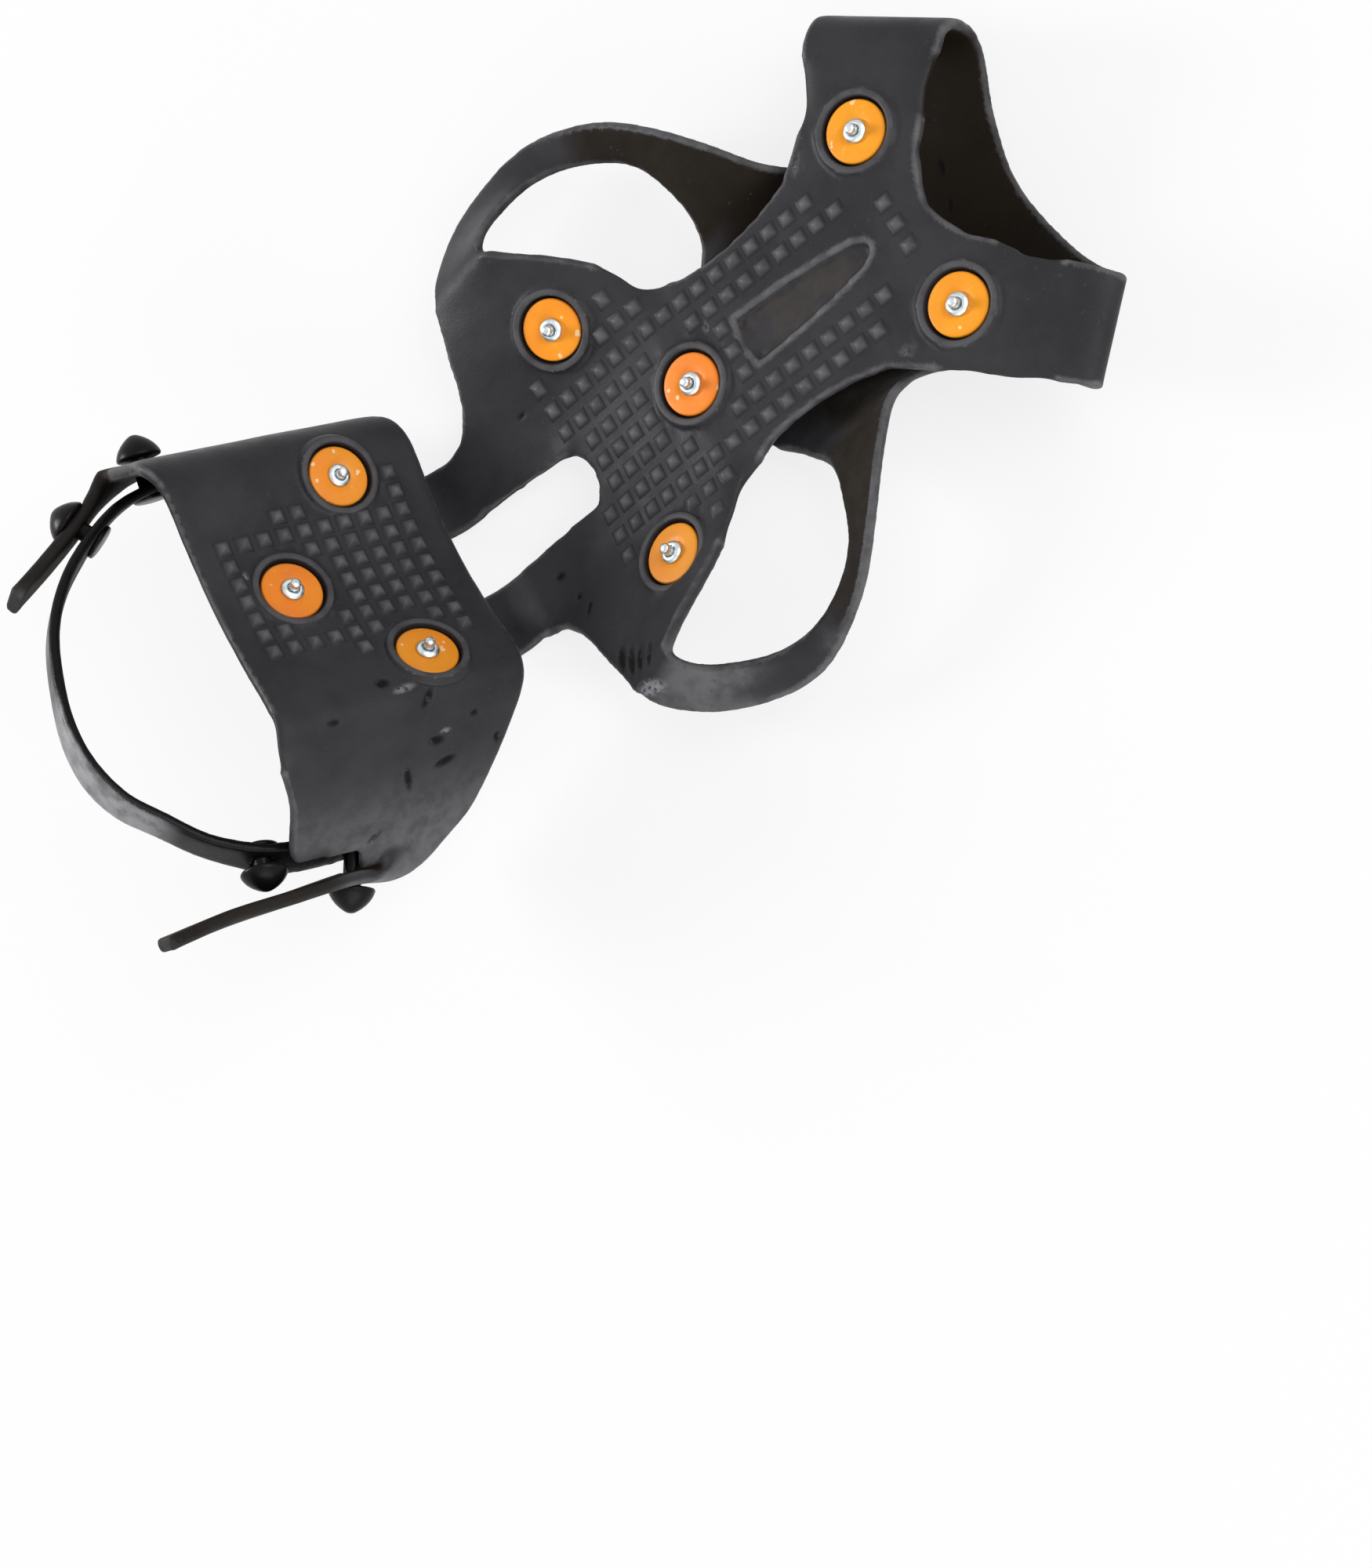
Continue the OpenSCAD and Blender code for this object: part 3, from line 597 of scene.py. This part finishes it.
def shade_inner_faces():
    """Painted shade: faces that look at the boot, the side straps' inward faces and the strap tails are
    painted brown-black as shade, and the tails lose most of their pale edge paint.
    """
    read_inside(forefoot, LIE, BOOT_LINE)
    x, y, _ = in_frame(LIE, points_of(forefoot.data)).T
    inward = -normals_of(forefoot.data)[:, 1] * np.sign(y)
    on_straps = step(36, 44, np.abs(y)) * step(-6, 10, x) * step(78, 70, x)
    add_mark(forefoot, "inside", step(0.1, 0.27, inward) * on_straps)
    read_inside(heel, HEEL, HEEL_LINE)
    read_inside(strap, HEEL, HEEL_LINE)
    x, y, z = in_frame(HEEL, points_of(heel.data)).T
    tail = step(-34, -46, x) * step(40, 48, np.abs(y)) * step(-32, -38, z)
    fade_mark(heel, "edge", 0.85 * tail)
    add_mark(heel, "inside", 0.8 * tail)


# painted sheen on the outer sides, and the leaf's rim painted pale as wear and as a painted highlight
paint_side_sheen()
paint_leaf_rim_and_floor()
sole_scars = (forefoot, LIE, SOLE_MARKS, SOLE_SCUFFS)
heel_scars = (heel, HEEL, HEEL_MARKS, HEEL_SCUFFS)
for piece, base, marks, scuffs in (sole_scars, heel_scars):
    for mark in marks:
        scar(piece, "mark", base, *mark)
    for scuff in scuffs:
        scar(piece, "scuff", base, *scuff)
    press_in(piece, DENT_DEPTH)
# painted shade on the faces that look at the boot and on the strap tails
shade_inner_faces()

# the fine mesh has carried its marks, and now flat places are thinned
MOST_TRIANGLES = 185000
for piece in (forefoot, heel, strap):
    triangles = sum(len(face.vertices) - 2 for face in piece.data.polygons)
    if triangles > MOST_TRIANGLES:
        apply_modifier(piece, "DECIMATE", ratio=MOST_TRIANGLES / triangles)
        smooth_shade(piece)


# grip points: small blunt pyramids in rows

GRIP_FOOT = 6
GRIP_SUNK = 0.5
GRIP_BEVEL = 0.35
# half width at the end of each rise, and the rise
GRIP_RISES = ((2.9, 0.5), (2.35, 0.22), (1.45, 0.75), (0.5, 0.63))


def grip_point(name):
    """A blunt four-sided point with hollow flanks and softened edges, its foot sunk below zero."""
    bpy.ops.object.select_all(action="DESELECT")
    bpy.ops.mesh.primitive_plane_add(size=GRIP_FOOT * MM)
    piece = bpy.context.object
    piece.name = name
    start_editing()
    bpy.ops.transform.translate(value=(0, 0, -GRIP_SUNK * MM))
    half = GRIP_FOOT / 2
    for wide, up in GRIP_RISES:
        rise(up, wide / half)
        half = wide
    close_up()
    apply_modifier(piece, "BEVEL", width=GRIP_BEVEL * MM, segments=1, limit_method="ANGLE",
        angle_limit=math.radians(35))
    return piece


def tree_of(piece):
    mesh = piece.data
    corners = [vertex.co.copy() for vertex in mesh.vertices]
    return BVHTree.FromPolygons(corners, [tuple(face.vertices) for face in mesh.polygons])


def lay_points(name, pattern, places, base, on):
    """Copies of one grip point, each standing on the moulding below it."""
    tree = tree_of(on)
    up = base.to_3x3() @ Vector((0, 0, 1))
    along = base.to_3x3() @ Vector((1, 0, 0))
    above = 40
    beside = 3.6
    copies = []
    for x, y in places:
        hit, normal, _, _ = tree.ray_cast(spot(base, x, y, above), -up)
        if hit is None or normal.dot(up) < 0.5:
            continue
        for dx, dy in ((beside, 0), (-beside, 0), (0, beside), (0, -beside)):
            next_normal = tree.ray_cast(spot(base, x + dx, y + dy, above), -up)[1]
            if next_normal and next_normal.dot(up) > 0.8:
                normal = normal + next_normal
        normal.normalize()
        side = normal.cross(along).normalized()
        ahead = side.cross(normal)
        piece = pattern.copy()
        piece.data = pattern.data.copy()
        bpy.context.scene.collection.objects.link(piece)
        upright = Matrix((ahead, side, normal)).transposed().to_4x4()
        piece.matrix_world = Matrix.Translation(hit) @ upright
        copies.append(piece)
    whole = join(name, copies)
    settle(whole, whole.matrix_world.copy())
    level = np.array([vertex.co.z for vertex in pattern.data.vertices])
    level /= level.max()
    # painted highlight on each point's crest, and a faint painted contact shadow at its foot
    paint(whole, "edge", np.tile(0.95 * step(0.1, 1, level), len(copies)))
    paint(whole, "hollow", np.zeros(len(whole.data.vertices)))
    paint(whole, "inside", np.tile(0.12 * step(0.5, 0.1, level), len(copies)))
    smooth_shade(whole, 40)
    return whole


pattern = grip_point("grip_point")
sole_grip = lay_points("forefoot_grip_points", pattern, sole_places, LIE, forefoot)
heel_grip = lay_points("heel_grip_points", pattern, heel_places, HEEL, heel)
bpy.data.objects.remove(pattern)


# turned pieces: discs, rivets, points, washers and plugs

def turned(name, profile, sides=48):
    """A piece turned about its axis: radius and height from the bottom up, closed at both ends."""
    bpy.ops.object.select_all(action="DESELECT")
    radius, height = profile[0]
    bpy.ops.mesh.primitive_circle_add(vertices=sides, radius=radius * MM, fill_type="NGON",
        location=(0, 0, height * MM))
    piece = bpy.context.object
    piece.name = name
    bpy.ops.object.transform_apply(location=True, rotation=True, scale=True)
    start_editing()
    for next_radius, next_height in profile[1:]:
        rise(next_height - height, next_radius / radius)
        radius, height = next_radius, next_height
    close_up()
    return piece


def copies_to(pattern, name, matrix, angle=35):
    piece = pattern.copy()
    piece.data = pattern.data.copy()
    piece.name = piece.data.name = name
    bpy.context.scene.collection.objects.link(piece)
    settle(piece, matrix)
    smooth_shade(piece, angle)
    return piece


def raised(profile, by):
    return [(radius, height + by) for radius, height in profile]


DISC_PROFILE = [
    (9.3, 0.1), (9.9, 0.3), (10.0, 0.6), (10.0, 1.8), (9.94, 2.15), (9.78, 2.38), (9.5, 2.49), (9.2, 2.53),
    (8.0, 2.56), (6.0, 2.58), (4.9, 2.56), (4.5, 2.42), (3.0, 2.4),
]
# collar and point from the disc's top, head and washer from the washer's seat
COLLAR_PROFILE = [
    (2.4, -5.5), (2.4, -0.1), (3.55, -0.1), (3.78, 0.1), (3.8, 0.55), (3.62, 0.95), (3.1, 1.35), (2.75, 1.52),
    (2.4, 1.58), (2.1, 1.5), (1.85, 1.2), (1.8, 0.8),
]
POINT_PROFILE = [
    (1.6, -1.8), (1.7, -1.6), (1.7, 4.0), (1.62, 4.3), (1.4, 4.55), (1.05, 4.68), (0.95, 4.74), (0.85, 4.78),
    (0.4, 4.8),
]
HEAD_PROFILE = [
    (3.4, -2.38), (3.9, -2.3), (4.3, -2.05), (4.48, -1.7), (4.5, -1.25), (2.4, -1.2), (2.4, 1.5),
]
WASHER_PROFILE = [(6.7, -1.2), (6.95, -1.1), (7.0, -0.9), (7.0, -0.1), (6.9, 0), (3.0, 0)]


def stud_ring(name, sheet):
    """The raised rubber ring about a disc, painted pale on top as wear and as a painted highlight, dirty at
    its foot, with painted shade on the inner wall of its well.
    """
    face = sheet / 2
    top = face + RING_HEIGHT
    ring = turned(f"{name}_rubber_ring", [
        (9.0, 0.0), (13.0, 0.0), (14.4, face - 0.9), (14.05, face - 0.1), (13.72, face + 0.35),
        (13.5, face + 0.8), (13.36, top - 0.45), (13.1, top - 0.12), (12.7, top + 0.02), (12.2, top + 0.06),
        (11.6, top + 0.04), (11.2, top - 0.06), (10.96, top - 0.28), (10.86, top - 0.7), (10.84, 0.6),
        (10.7, 0.12), (9.0, 0.08)], 72)
    points = points_of(ring.data) / MM
    level = points[:, 2]
    in_well = np.hypot(points[:, 0], points[:, 1]) < 10.95
    # painted highlight and wear on the crest, dust at the foot, painted shade on the well's inner wall
    paint(ring, "edge", step(top - 0.25, top + 0.05, level) * 0.55)
    paint(ring, "hollow", step(face + 0.9, face - 0.2, level) * 0.5)
    paint(ring, "inside", step(top - 0.2, 1.6, level) * in_well)
    settle(ring, stud_frame(name))
    smooth_shade(ring, 50)
    return ring


disc = turned("disc_pattern", DISC_PROFILE, 72)
collar = turned("collar_pattern", raised(COLLAR_PROFILE, DISC_TOP))
point = turned("point_pattern", raised(POINT_PROFILE, DISC_TOP), 32)
STUD_SLOTS = {"disc": "disc_plastic", "rivet": "zinc_steel", "tip": "carbide", "washer": "washer_steel"}
stud_pieces = {kind: [] for kind in STUD_SLOTS}
rings = []
for name, (body, _, _, _, sheet) in STUDS.items():
    at = stud_frame(name)
    seat = -sheet / 2 - WASHER_SEAT
    made = {"disc": copies_to(disc, f"{name}_orange_disc", at)}
    paint(made["disc"], "tone", np.full(len(disc.data.vertices), DISC_TONES[name]))
    ring = stud_ring(name, sheet)
    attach(ring, body)
    rings.append(ring)
    upper = copies_to(collar, f"{name}_collar", at)
    head = turned("head_pattern", raised(HEAD_PROFILE, seat), 40)
    made["rivet"] = join(f"{name}_zinc_rivet", [upper, copies_to(head, f"{name}_head", at)])
    made["tip"] = copies_to(point, f"{name}_carbide_point", at)
    washer = turned("washer_pattern", raised(WASHER_PROFILE, seat), 48)
    made["washer"] = copies_to(washer, f"{name}_zinc_washer", at)
    for kind, piece in made.items():
        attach(piece, body)
        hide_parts(f"{name}_{kind}")
        stud_pieces[kind].append(piece)
for spare in [obj for obj in bpy.data.objects if "_pattern" in obj.name]:
    bpy.data.objects.remove(spare)


def plug_profile(reach, tall):
    """A round foot, a shaft through strap and tail, and a cone head with a rounded tip."""
    foot = [(5.4, -3.7), (5.85, -3.5), (6.0, -3.1), (6.0, -2.5), (5.7, -2.15), (3.2, -2.05), (2.95, -1.7)]
    rim = [(2.95, -0.1), (6.7, 0), (7.25, 0.15), (7.5, 0.6), (7.42, 1.2)]
    cone = [(6.9, 0.32), (6.0, 0.5), (4.8, 0.67), (3.5, 0.81), (2.2, 0.92), (1.3, 0.98), (0.6, 1)]
    return foot + raised(rim, reach) + [(radius, reach + share * tall) for radius, share in cone]


plugs = []
for name, (place, heading, lean, reach, tall) in PLUGS.items():
    at = HEEL @ shifted(place) @ turned_about("Z", heading) @ turned_about("Y", 90 - lean)
    pattern = turned(f"{name}_plug_pattern", plug_profile(reach, tall), 40)
    piece = copies_to(pattern, f"{name}_strap_plug", at, 60)
    bpy.data.objects.remove(pattern)
    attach(piece, "strap")
    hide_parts(f"{name}_plug")
    for mark in ("edge", "hollow", "inside"):
        paint(piece, mark, np.zeros(len(piece.data.vertices)))
    plugs.append(piece)


# shader building

def add(tree, kind, **values):
    node = tree.nodes.new(kind)
    for key, value in values.items():
        setattr(node, key, value)
    return node


def link(tree, source, target):
    tree.links.new(source, target)


def feed(tree, socket, value):
    """Sets a socket to a number or a colour, or links it to another node."""
    if isinstance(value, tuple):
        socket.default_value = value + (1,)
    elif isinstance(value, (int, float)):
        socket.default_value = value
    else:
        link(tree, value, socket)


def object_place(tree):
    return add(tree, "ShaderNodeTexCoord").outputs["Object"]


def noise(tree, where, scale, detail=2.0, rough=0.5):
    node = add(tree, "ShaderNodeTexNoise")
    node.inputs["Scale"].default_value = scale
    node.inputs["Detail"].default_value = detail
    node.inputs["Roughness"].default_value = rough
    link(tree, where, node.inputs["Vector"])
    return node.outputs["Fac"]


def ramp(tree, value, low, high, to_low=0.0, to_high=1.0):
    node = add(tree, "ShaderNodeMapRange", interpolation_type="SMOOTHSTEP")
    node.inputs["From Min"].default_value = low
    node.inputs["From Max"].default_value = high
    node.inputs["To Min"].default_value = to_low
    node.inputs["To Max"].default_value = to_high
    link(tree, value, node.inputs["Value"])
    return node.outputs["Result"]


def calc(tree, kind, first, second):
    node = add(tree, "ShaderNodeMath", operation=kind)
    feed(tree, node.inputs[0], first)
    feed(tree, node.inputs[1], second)
    return node.outputs[0]


def times(tree, first, second):
    return calc(tree, "MULTIPLY", first, second)


def blend_colour(tree, amount, below, above, kind="MIX"):
    node = add(tree, "ShaderNodeMix", data_type="RGBA", blend_type=kind)
    feed(tree, node.inputs["Factor"], amount)
    feed(tree, node.inputs[6], below)
    feed(tree, node.inputs[7], above)
    return node.outputs[2]


def mark_of(tree, name):
    return add(tree, "ShaderNodeAttribute", attribute_name=name).outputs["Fac"]


def raise_surface(tree, shader, height, strength, distance):
    node = add(tree, "ShaderNodeBump")
    node.inputs["Strength"].default_value = strength
    node.inputs["Distance"].default_value = distance * MM
    link(tree, height, node.inputs["Height"])
    link(tree, node.outputs[0], shader.inputs["Normal"])


def material(name):
    finish = bpy.data.materials.new(name)
    finish.use_nodes = True
    tree = finish.node_tree
    tree.nodes.clear()
    out = add(tree, "ShaderNodeOutputMaterial")
    shader = add(tree, "ShaderNodeBsdfPrincipled")
    link(tree, shader.outputs[0], out.inputs[0])
    return finish, tree, shader


# finishes

SKIN_COLOURS = ("Outer", "Inner", "Wear_And_Sheen", "Dust")
SKIN_MARKS = ("Edge", "Hollow", "Inside", "Mark", "Scuff")
TORN_COLOUR = (0.0035, 0.0033, 0.0032)
SCRAPED_COLOUR = (0.26, 0.265, 0.285)


def rubber_skin():
    """Mottled colour, paler edges and outer sides as wear with painted highlight and sheen, dusty hollows,
    boot side painted brown-black as shade, dark tears and pale scrapes.
    """
    tree = bpy.data.node_groups.new("rubber_skin", "ShaderNodeTree")
    for label in SKIN_COLOURS:
        tree.interface.new_socket(name=label, in_out="INPUT", socket_type="NodeSocketColor")
    for label in SKIN_MARKS:
        tree.interface.new_socket(name=label, in_out="INPUT", socket_type="NodeSocketFloat")
    for label, kind in (("Color", "Color"), ("Roughness", "Float"), ("Height", "Float")):
        tree.interface.new_socket(name=label, in_out="OUTPUT", socket_type=f"NodeSocket{kind}")
    given = add(tree, "NodeGroupInput").outputs
    result = add(tree, "NodeGroupOutput").inputs
    where = object_place(tree)
    clouds = noise(tree, where, 42.0, 4.0, 0.6)
    patches = noise(tree, where, 140.0, 3.0, 0.6)
    grain = noise(tree, where, 1500.0, 2.0, 0.6)
    specks = noise(tree, where, 620.0, 1.0, 0.4)
    tears = noise(tree, where, 330.0, 4.0, 0.65)
    scrapes = noise(tree, where, 700.0, 2.0, 0.6)
    # the boot side takes the inner colour as painted shade
    colour = blend_colour(tree, given["Inside"], given["Outer"], given["Inner"])
    mottled = ramp(tree, clouds, 0.35, 0.7, 0.0, 0.45)
    colour = blend_colour(tree, mottled, colour, given["Wear_And_Sheen"], "SOFT_LIGHT")
    # edges and outer sides paler: wear, painted highlight and painted sheen
    wear_and_sheen = times(tree, given["Edge"], ramp(tree, patches, 0.3, 0.65, 0.45, 1.0))
    colour = blend_colour(tree, times(tree, wear_and_sheen, 0.75), colour, given["Wear_And_Sheen"])
    dusty = times(tree, given["Hollow"], ramp(tree, patches, 0.35, 0.6, 0.1, 0.5))
    colour = blend_colour(tree, dusty, colour, given["Dust"])
    flecks = times(tree, ramp(tree, specks, 0.7, 0.74), ramp(tree, clouds, 0.5, 0.62, 0.0, 0.5))
    colour = blend_colour(tree, flecks, colour, given["Dust"])
    torn = times(tree, given["Mark"], ramp(tree, tears, 0.36, 0.5))
    colour = blend_colour(tree, torn, colour, TORN_COLOUR)
    scraped = times(tree, given["Scuff"], ramp(tree, scrapes, 0.34, 0.56, 0.0, 0.85))
    colour = blend_colour(tree, scraped, colour, SCRAPED_COLOUR)
    link(tree, colour, result["Color"])
    rough = ramp(tree, patches, 0.3, 0.7, 0.38, 0.5)
    rough = calc(tree, "ADD", rough, times(tree, given["Inside"], 0.25))
    rough = calc(tree, "ADD", rough, times(tree, torn, 0.3))
    link(tree, rough, result["Roughness"])
    height = calc(tree, "ADD", times(tree, grain, 0.5), times(tree, patches, 0.9))
    height = calc(tree, "SUBTRACT", height, times(tree, torn, 1.2))
    link(tree, height, result["Height"])
    return tree


skin = rubber_skin()


def rubber(name, colours, bump, gloss, specular):
    finish, tree, shader = material(name)
    node = add(tree, "ShaderNodeGroup", node_tree=skin)
    for label, colour in zip(SKIN_COLOURS, colours):
        feed(tree, node.inputs[label], colour)
    for label in SKIN_MARKS:
        link(tree, mark_of(tree, label.lower()), node.inputs[label])
    link(tree, node.outputs["Color"], shader.inputs["Base Color"])
    link(tree, calc(tree, "SUBTRACT", node.outputs["Roughness"], gloss), shader.inputs["Roughness"])
    shader.inputs["Specular IOR Level"].default_value = specular
    raise_surface(tree, shader, node.outputs["Height"], bump, 0.4)
    return finish


def disc_plastic():
    """Satin orange, faintly streaked, scuffed pale in places and with small pale specks."""
    finish, tree, shader = material("orange_disc_plastic")
    where = object_place(tree)
    cloud = noise(tree, where, 70.0, 3.0)
    scuff = noise(tree, where, 420.0, 3.0, 0.65)
    pale_specks = noise(tree, where, 260.0, 1.0, 0.4)
    leaning = calc(tree, "ADD", mark_of(tree, "tone"), ramp(tree, cloud, 0.3, 0.7, -0.16, 0.16))
    colour = blend_colour(tree, leaning, (0.85, 0.325, 0.008), (0.81, 0.205, 0.010))
    colour = blend_colour(tree, ramp(tree, scuff, 0.64, 0.74, 0.0, 0.4), colour, (0.88, 0.47, 0.13))
    colour = blend_colour(tree, ramp(tree, pale_specks, 0.715, 0.735, 0.0, 0.8), colour, (0.93, 0.66, 0.36))
    link(tree, colour, shader.inputs["Base Color"])
    shader.inputs["Specular IOR Level"].default_value = 0.36
    link(tree, ramp(tree, scuff, 0.35, 0.7, 0.34, 0.5), shader.inputs["Roughness"])
    raise_surface(tree, shader, scuff, 0.15, 0.3)
    return finish


def steel(name, light, dark, low, high):
    """Clouded metal, its roughness between low and high."""
    finish, tree, shader = material(name)
    cloud = noise(tree, object_place(tree), 500.0, 3.0, 0.6)
    link(tree, blend_colour(tree, ramp(tree, cloud, 0.35, 0.68), light, dark), shader.inputs["Base Color"])
    link(tree, ramp(tree, cloud, 0.3, 0.7, low, high), shader.inputs["Roughness"])
    shader.inputs["Metallic"].default_value = 1.0
    raise_surface(tree, shader, cloud, 0.12, 0.2)
    return finish


# rubber colours: outer side, boot side in painted shade, worn pale with painted highlight and sheen, and
# dusty
CHARCOAL_COLOURS = ((0.0310, 0.0298, 0.0338), (0.0098, 0.0066, 0.0036), (0.145, 0.143, 0.150),
    (0.050, 0.043, 0.036))
BLACK_COLOURS = ((0.0058, 0.0058, 0.0068), (0.0046, 0.0040, 0.0034), (0.34, 0.34, 0.36),
    (0.026, 0.023, 0.020))
charcoal = rubber("charcoal_rubber", CHARCOAL_COLOURS, bump=0.35, gloss=0.0, specular=0.12)
black = rubber("black_rubber", BLACK_COLOURS, bump=0.3, gloss=0.14, specular=0.10)
orange = disc_plastic()
zinc = steel("bright_zinc", (0.70, 0.77, 0.79), (0.50, 0.56, 0.58), low=0.28, high=0.42)
washer_zinc = steel("dull_zinc", (0.62, 0.64, 0.65), (0.46, 0.48, 0.49), low=0.36, high=0.52)
carbide = steel("ground_carbide", (0.66, 0.71, 0.73), (0.46, 0.50, 0.52), low=0.28, high=0.42)


def dress(pieces, finish):
    for piece in pieces:
        piece.data.materials.clear()
        piece.data.materials.append(finish)


dress([forefoot, heel, sole_grip, heel_grip] + rings, charcoal)
dress([strap] + plugs, black)
dress(stud_pieces["disc"], orange)
dress(stud_pieces["rivet"], zinc)
dress(stud_pieces["tip"], carbide)
dress(stud_pieces["washer"], washer_zinc)

# what each rubber piece moves with, and which solids it stands for
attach(sole_grip, "forefoot")
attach(heel_grip, "heel")
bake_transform(forefoot)
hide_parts("forefoot_harness", "left_bridge_web", "right_bridge_web")
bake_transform(heel)
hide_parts("heel_cup", "left_strap_tail", "right_strap_tail")
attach(strap, "strap")
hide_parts("heel_strap")

# camera at the photograph's place, found in the sole's frame
EYE = (308.3, -395.9, 850.7)
PICTURE_RIGHT = (0.7517, -0.4479, -0.4841)
PICTURE_DOWN = (-0.5356, -0.8429, -0.0517)
PICTURE_AHEAD = (-0.3849, 0.2981, -0.8735)
right, down, ahead = (LIE.to_3x3() @ Vector(way) for way in (PICTURE_RIGHT, PICTURE_DOWN, PICTURE_AHEAD))
lens = bpy.data.cameras.new("camera")
lens.sensor_fit = "VERTICAL"
lens.sensor_height = 36
lens.lens = 72
lens.clip_start = 0.01
lens.clip_end = 50
camera = bpy.data.objects.new("camera", lens)
bpy.context.scene.collection.objects.link(camera)
facing = Matrix((right, -down, -ahead)).transposed().to_4x4()
camera.matrix_world = Matrix.Translation(spot(LIE, *EYE)) @ facing
bpy.context.scene.camera = camera


# pale floor and soft studio light

def seen_directly(tree):
    """One where the camera, a mirror-like face or clear glass sees it."""
    path = add(tree, "ShaderNodeLightPath")
    seen = calc(tree, "MAXIMUM", path.outputs["Is Camera Ray"], path.outputs["Is Glossy Ray"])
    return calc(tree, "MAXIMUM", seen, path.outputs["Is Transmission Ray"])


def mix_shaders(tree, share, first, second, out):
    node = add(tree, "ShaderNodeMixShader")
    link(tree, share, node.inputs[0])
    link(tree, first.outputs[0], node.inputs[1])
    link(tree, second.outputs[0], node.inputs[2])
    link(tree, node.outputs[0], out.inputs[0])


def pale_floor():
    """Matt paper that shows the shadow, and far away runs into the white behind it."""
    finish = bpy.data.materials.new("pale_floor")
    finish.use_nodes = True
    tree = finish.node_tree
    tree.nodes.clear()
    matt = add(tree, "ShaderNodeBsdfDiffuse")
    matt.inputs["Color"].default_value = (0.8, 0.8, 0.8, 1)
    far = add(tree, "ShaderNodeVectorMath", operation="LENGTH")
    link(tree, object_place(tree), far.inputs[0])
    share = times(tree, seen_directly(tree), ramp(tree, far.outputs["Value"], 0.35, 1.1, 0.8, 1.0))
    glow = add(tree, "ShaderNodeEmission")
    mix_shaders(tree, share, matt, glow, add(tree, "ShaderNodeOutputMaterial"))
    return finish


FLOOR_SIZE = 8
FLOOR_LEVEL = -0.0005
bpy.ops.object.select_all(action="DESELECT")
bpy.ops.mesh.primitive_plane_add(size=FLOOR_SIZE, location=(0, 0, FLOOR_LEVEL))
floor = bpy.context.object
floor.name = "floor"
dress([floor], pale_floor())

SKY_STRENGTH = 0.36
world = bpy.data.worlds.new("studio")
bpy.context.scene.world = world
world.use_nodes = True
tree = world.node_tree
tree.nodes.clear()
sky = add(tree, "ShaderNodeBackground")
back = add(tree, "ShaderNodeBackground")
for node, strength in ((sky, SKY_STRENGTH), (back, 1)):
    node.inputs["Color"].default_value = (1, 1, 1, 1)
    node.inputs["Strength"].default_value = strength
mix_shaders(tree, seen_directly(tree), sky, back, add(tree, "ShaderNodeOutputWorld"))


def soft_light(name, place, size, power):
    """A round lamp that looks at the cleat: place and size in metres, power in watts."""
    data = bpy.data.lights.new(name, "AREA")
    data.shape = "DISK"
    data.size = size
    data.energy = power
    lamp = bpy.data.objects.new(name, data)
    bpy.context.scene.collection.objects.link(lamp)
    lamp.location = place
    lamp.rotation_euler = (-Vector(place)).to_track_quat("-Z", "Y").to_euler()


soft_light("key_light", (-1.15, 0.8, 0.72), size=0.6, power=19)
soft_light("low_light", (-0.2, -1.5, 0.5), size=1.6, power=16)
soft_light("top_light", (1.1, -0.3, 1.0), size=1.2, power=13)

bpy.context.scene.view_settings.view_transform = "Standard"
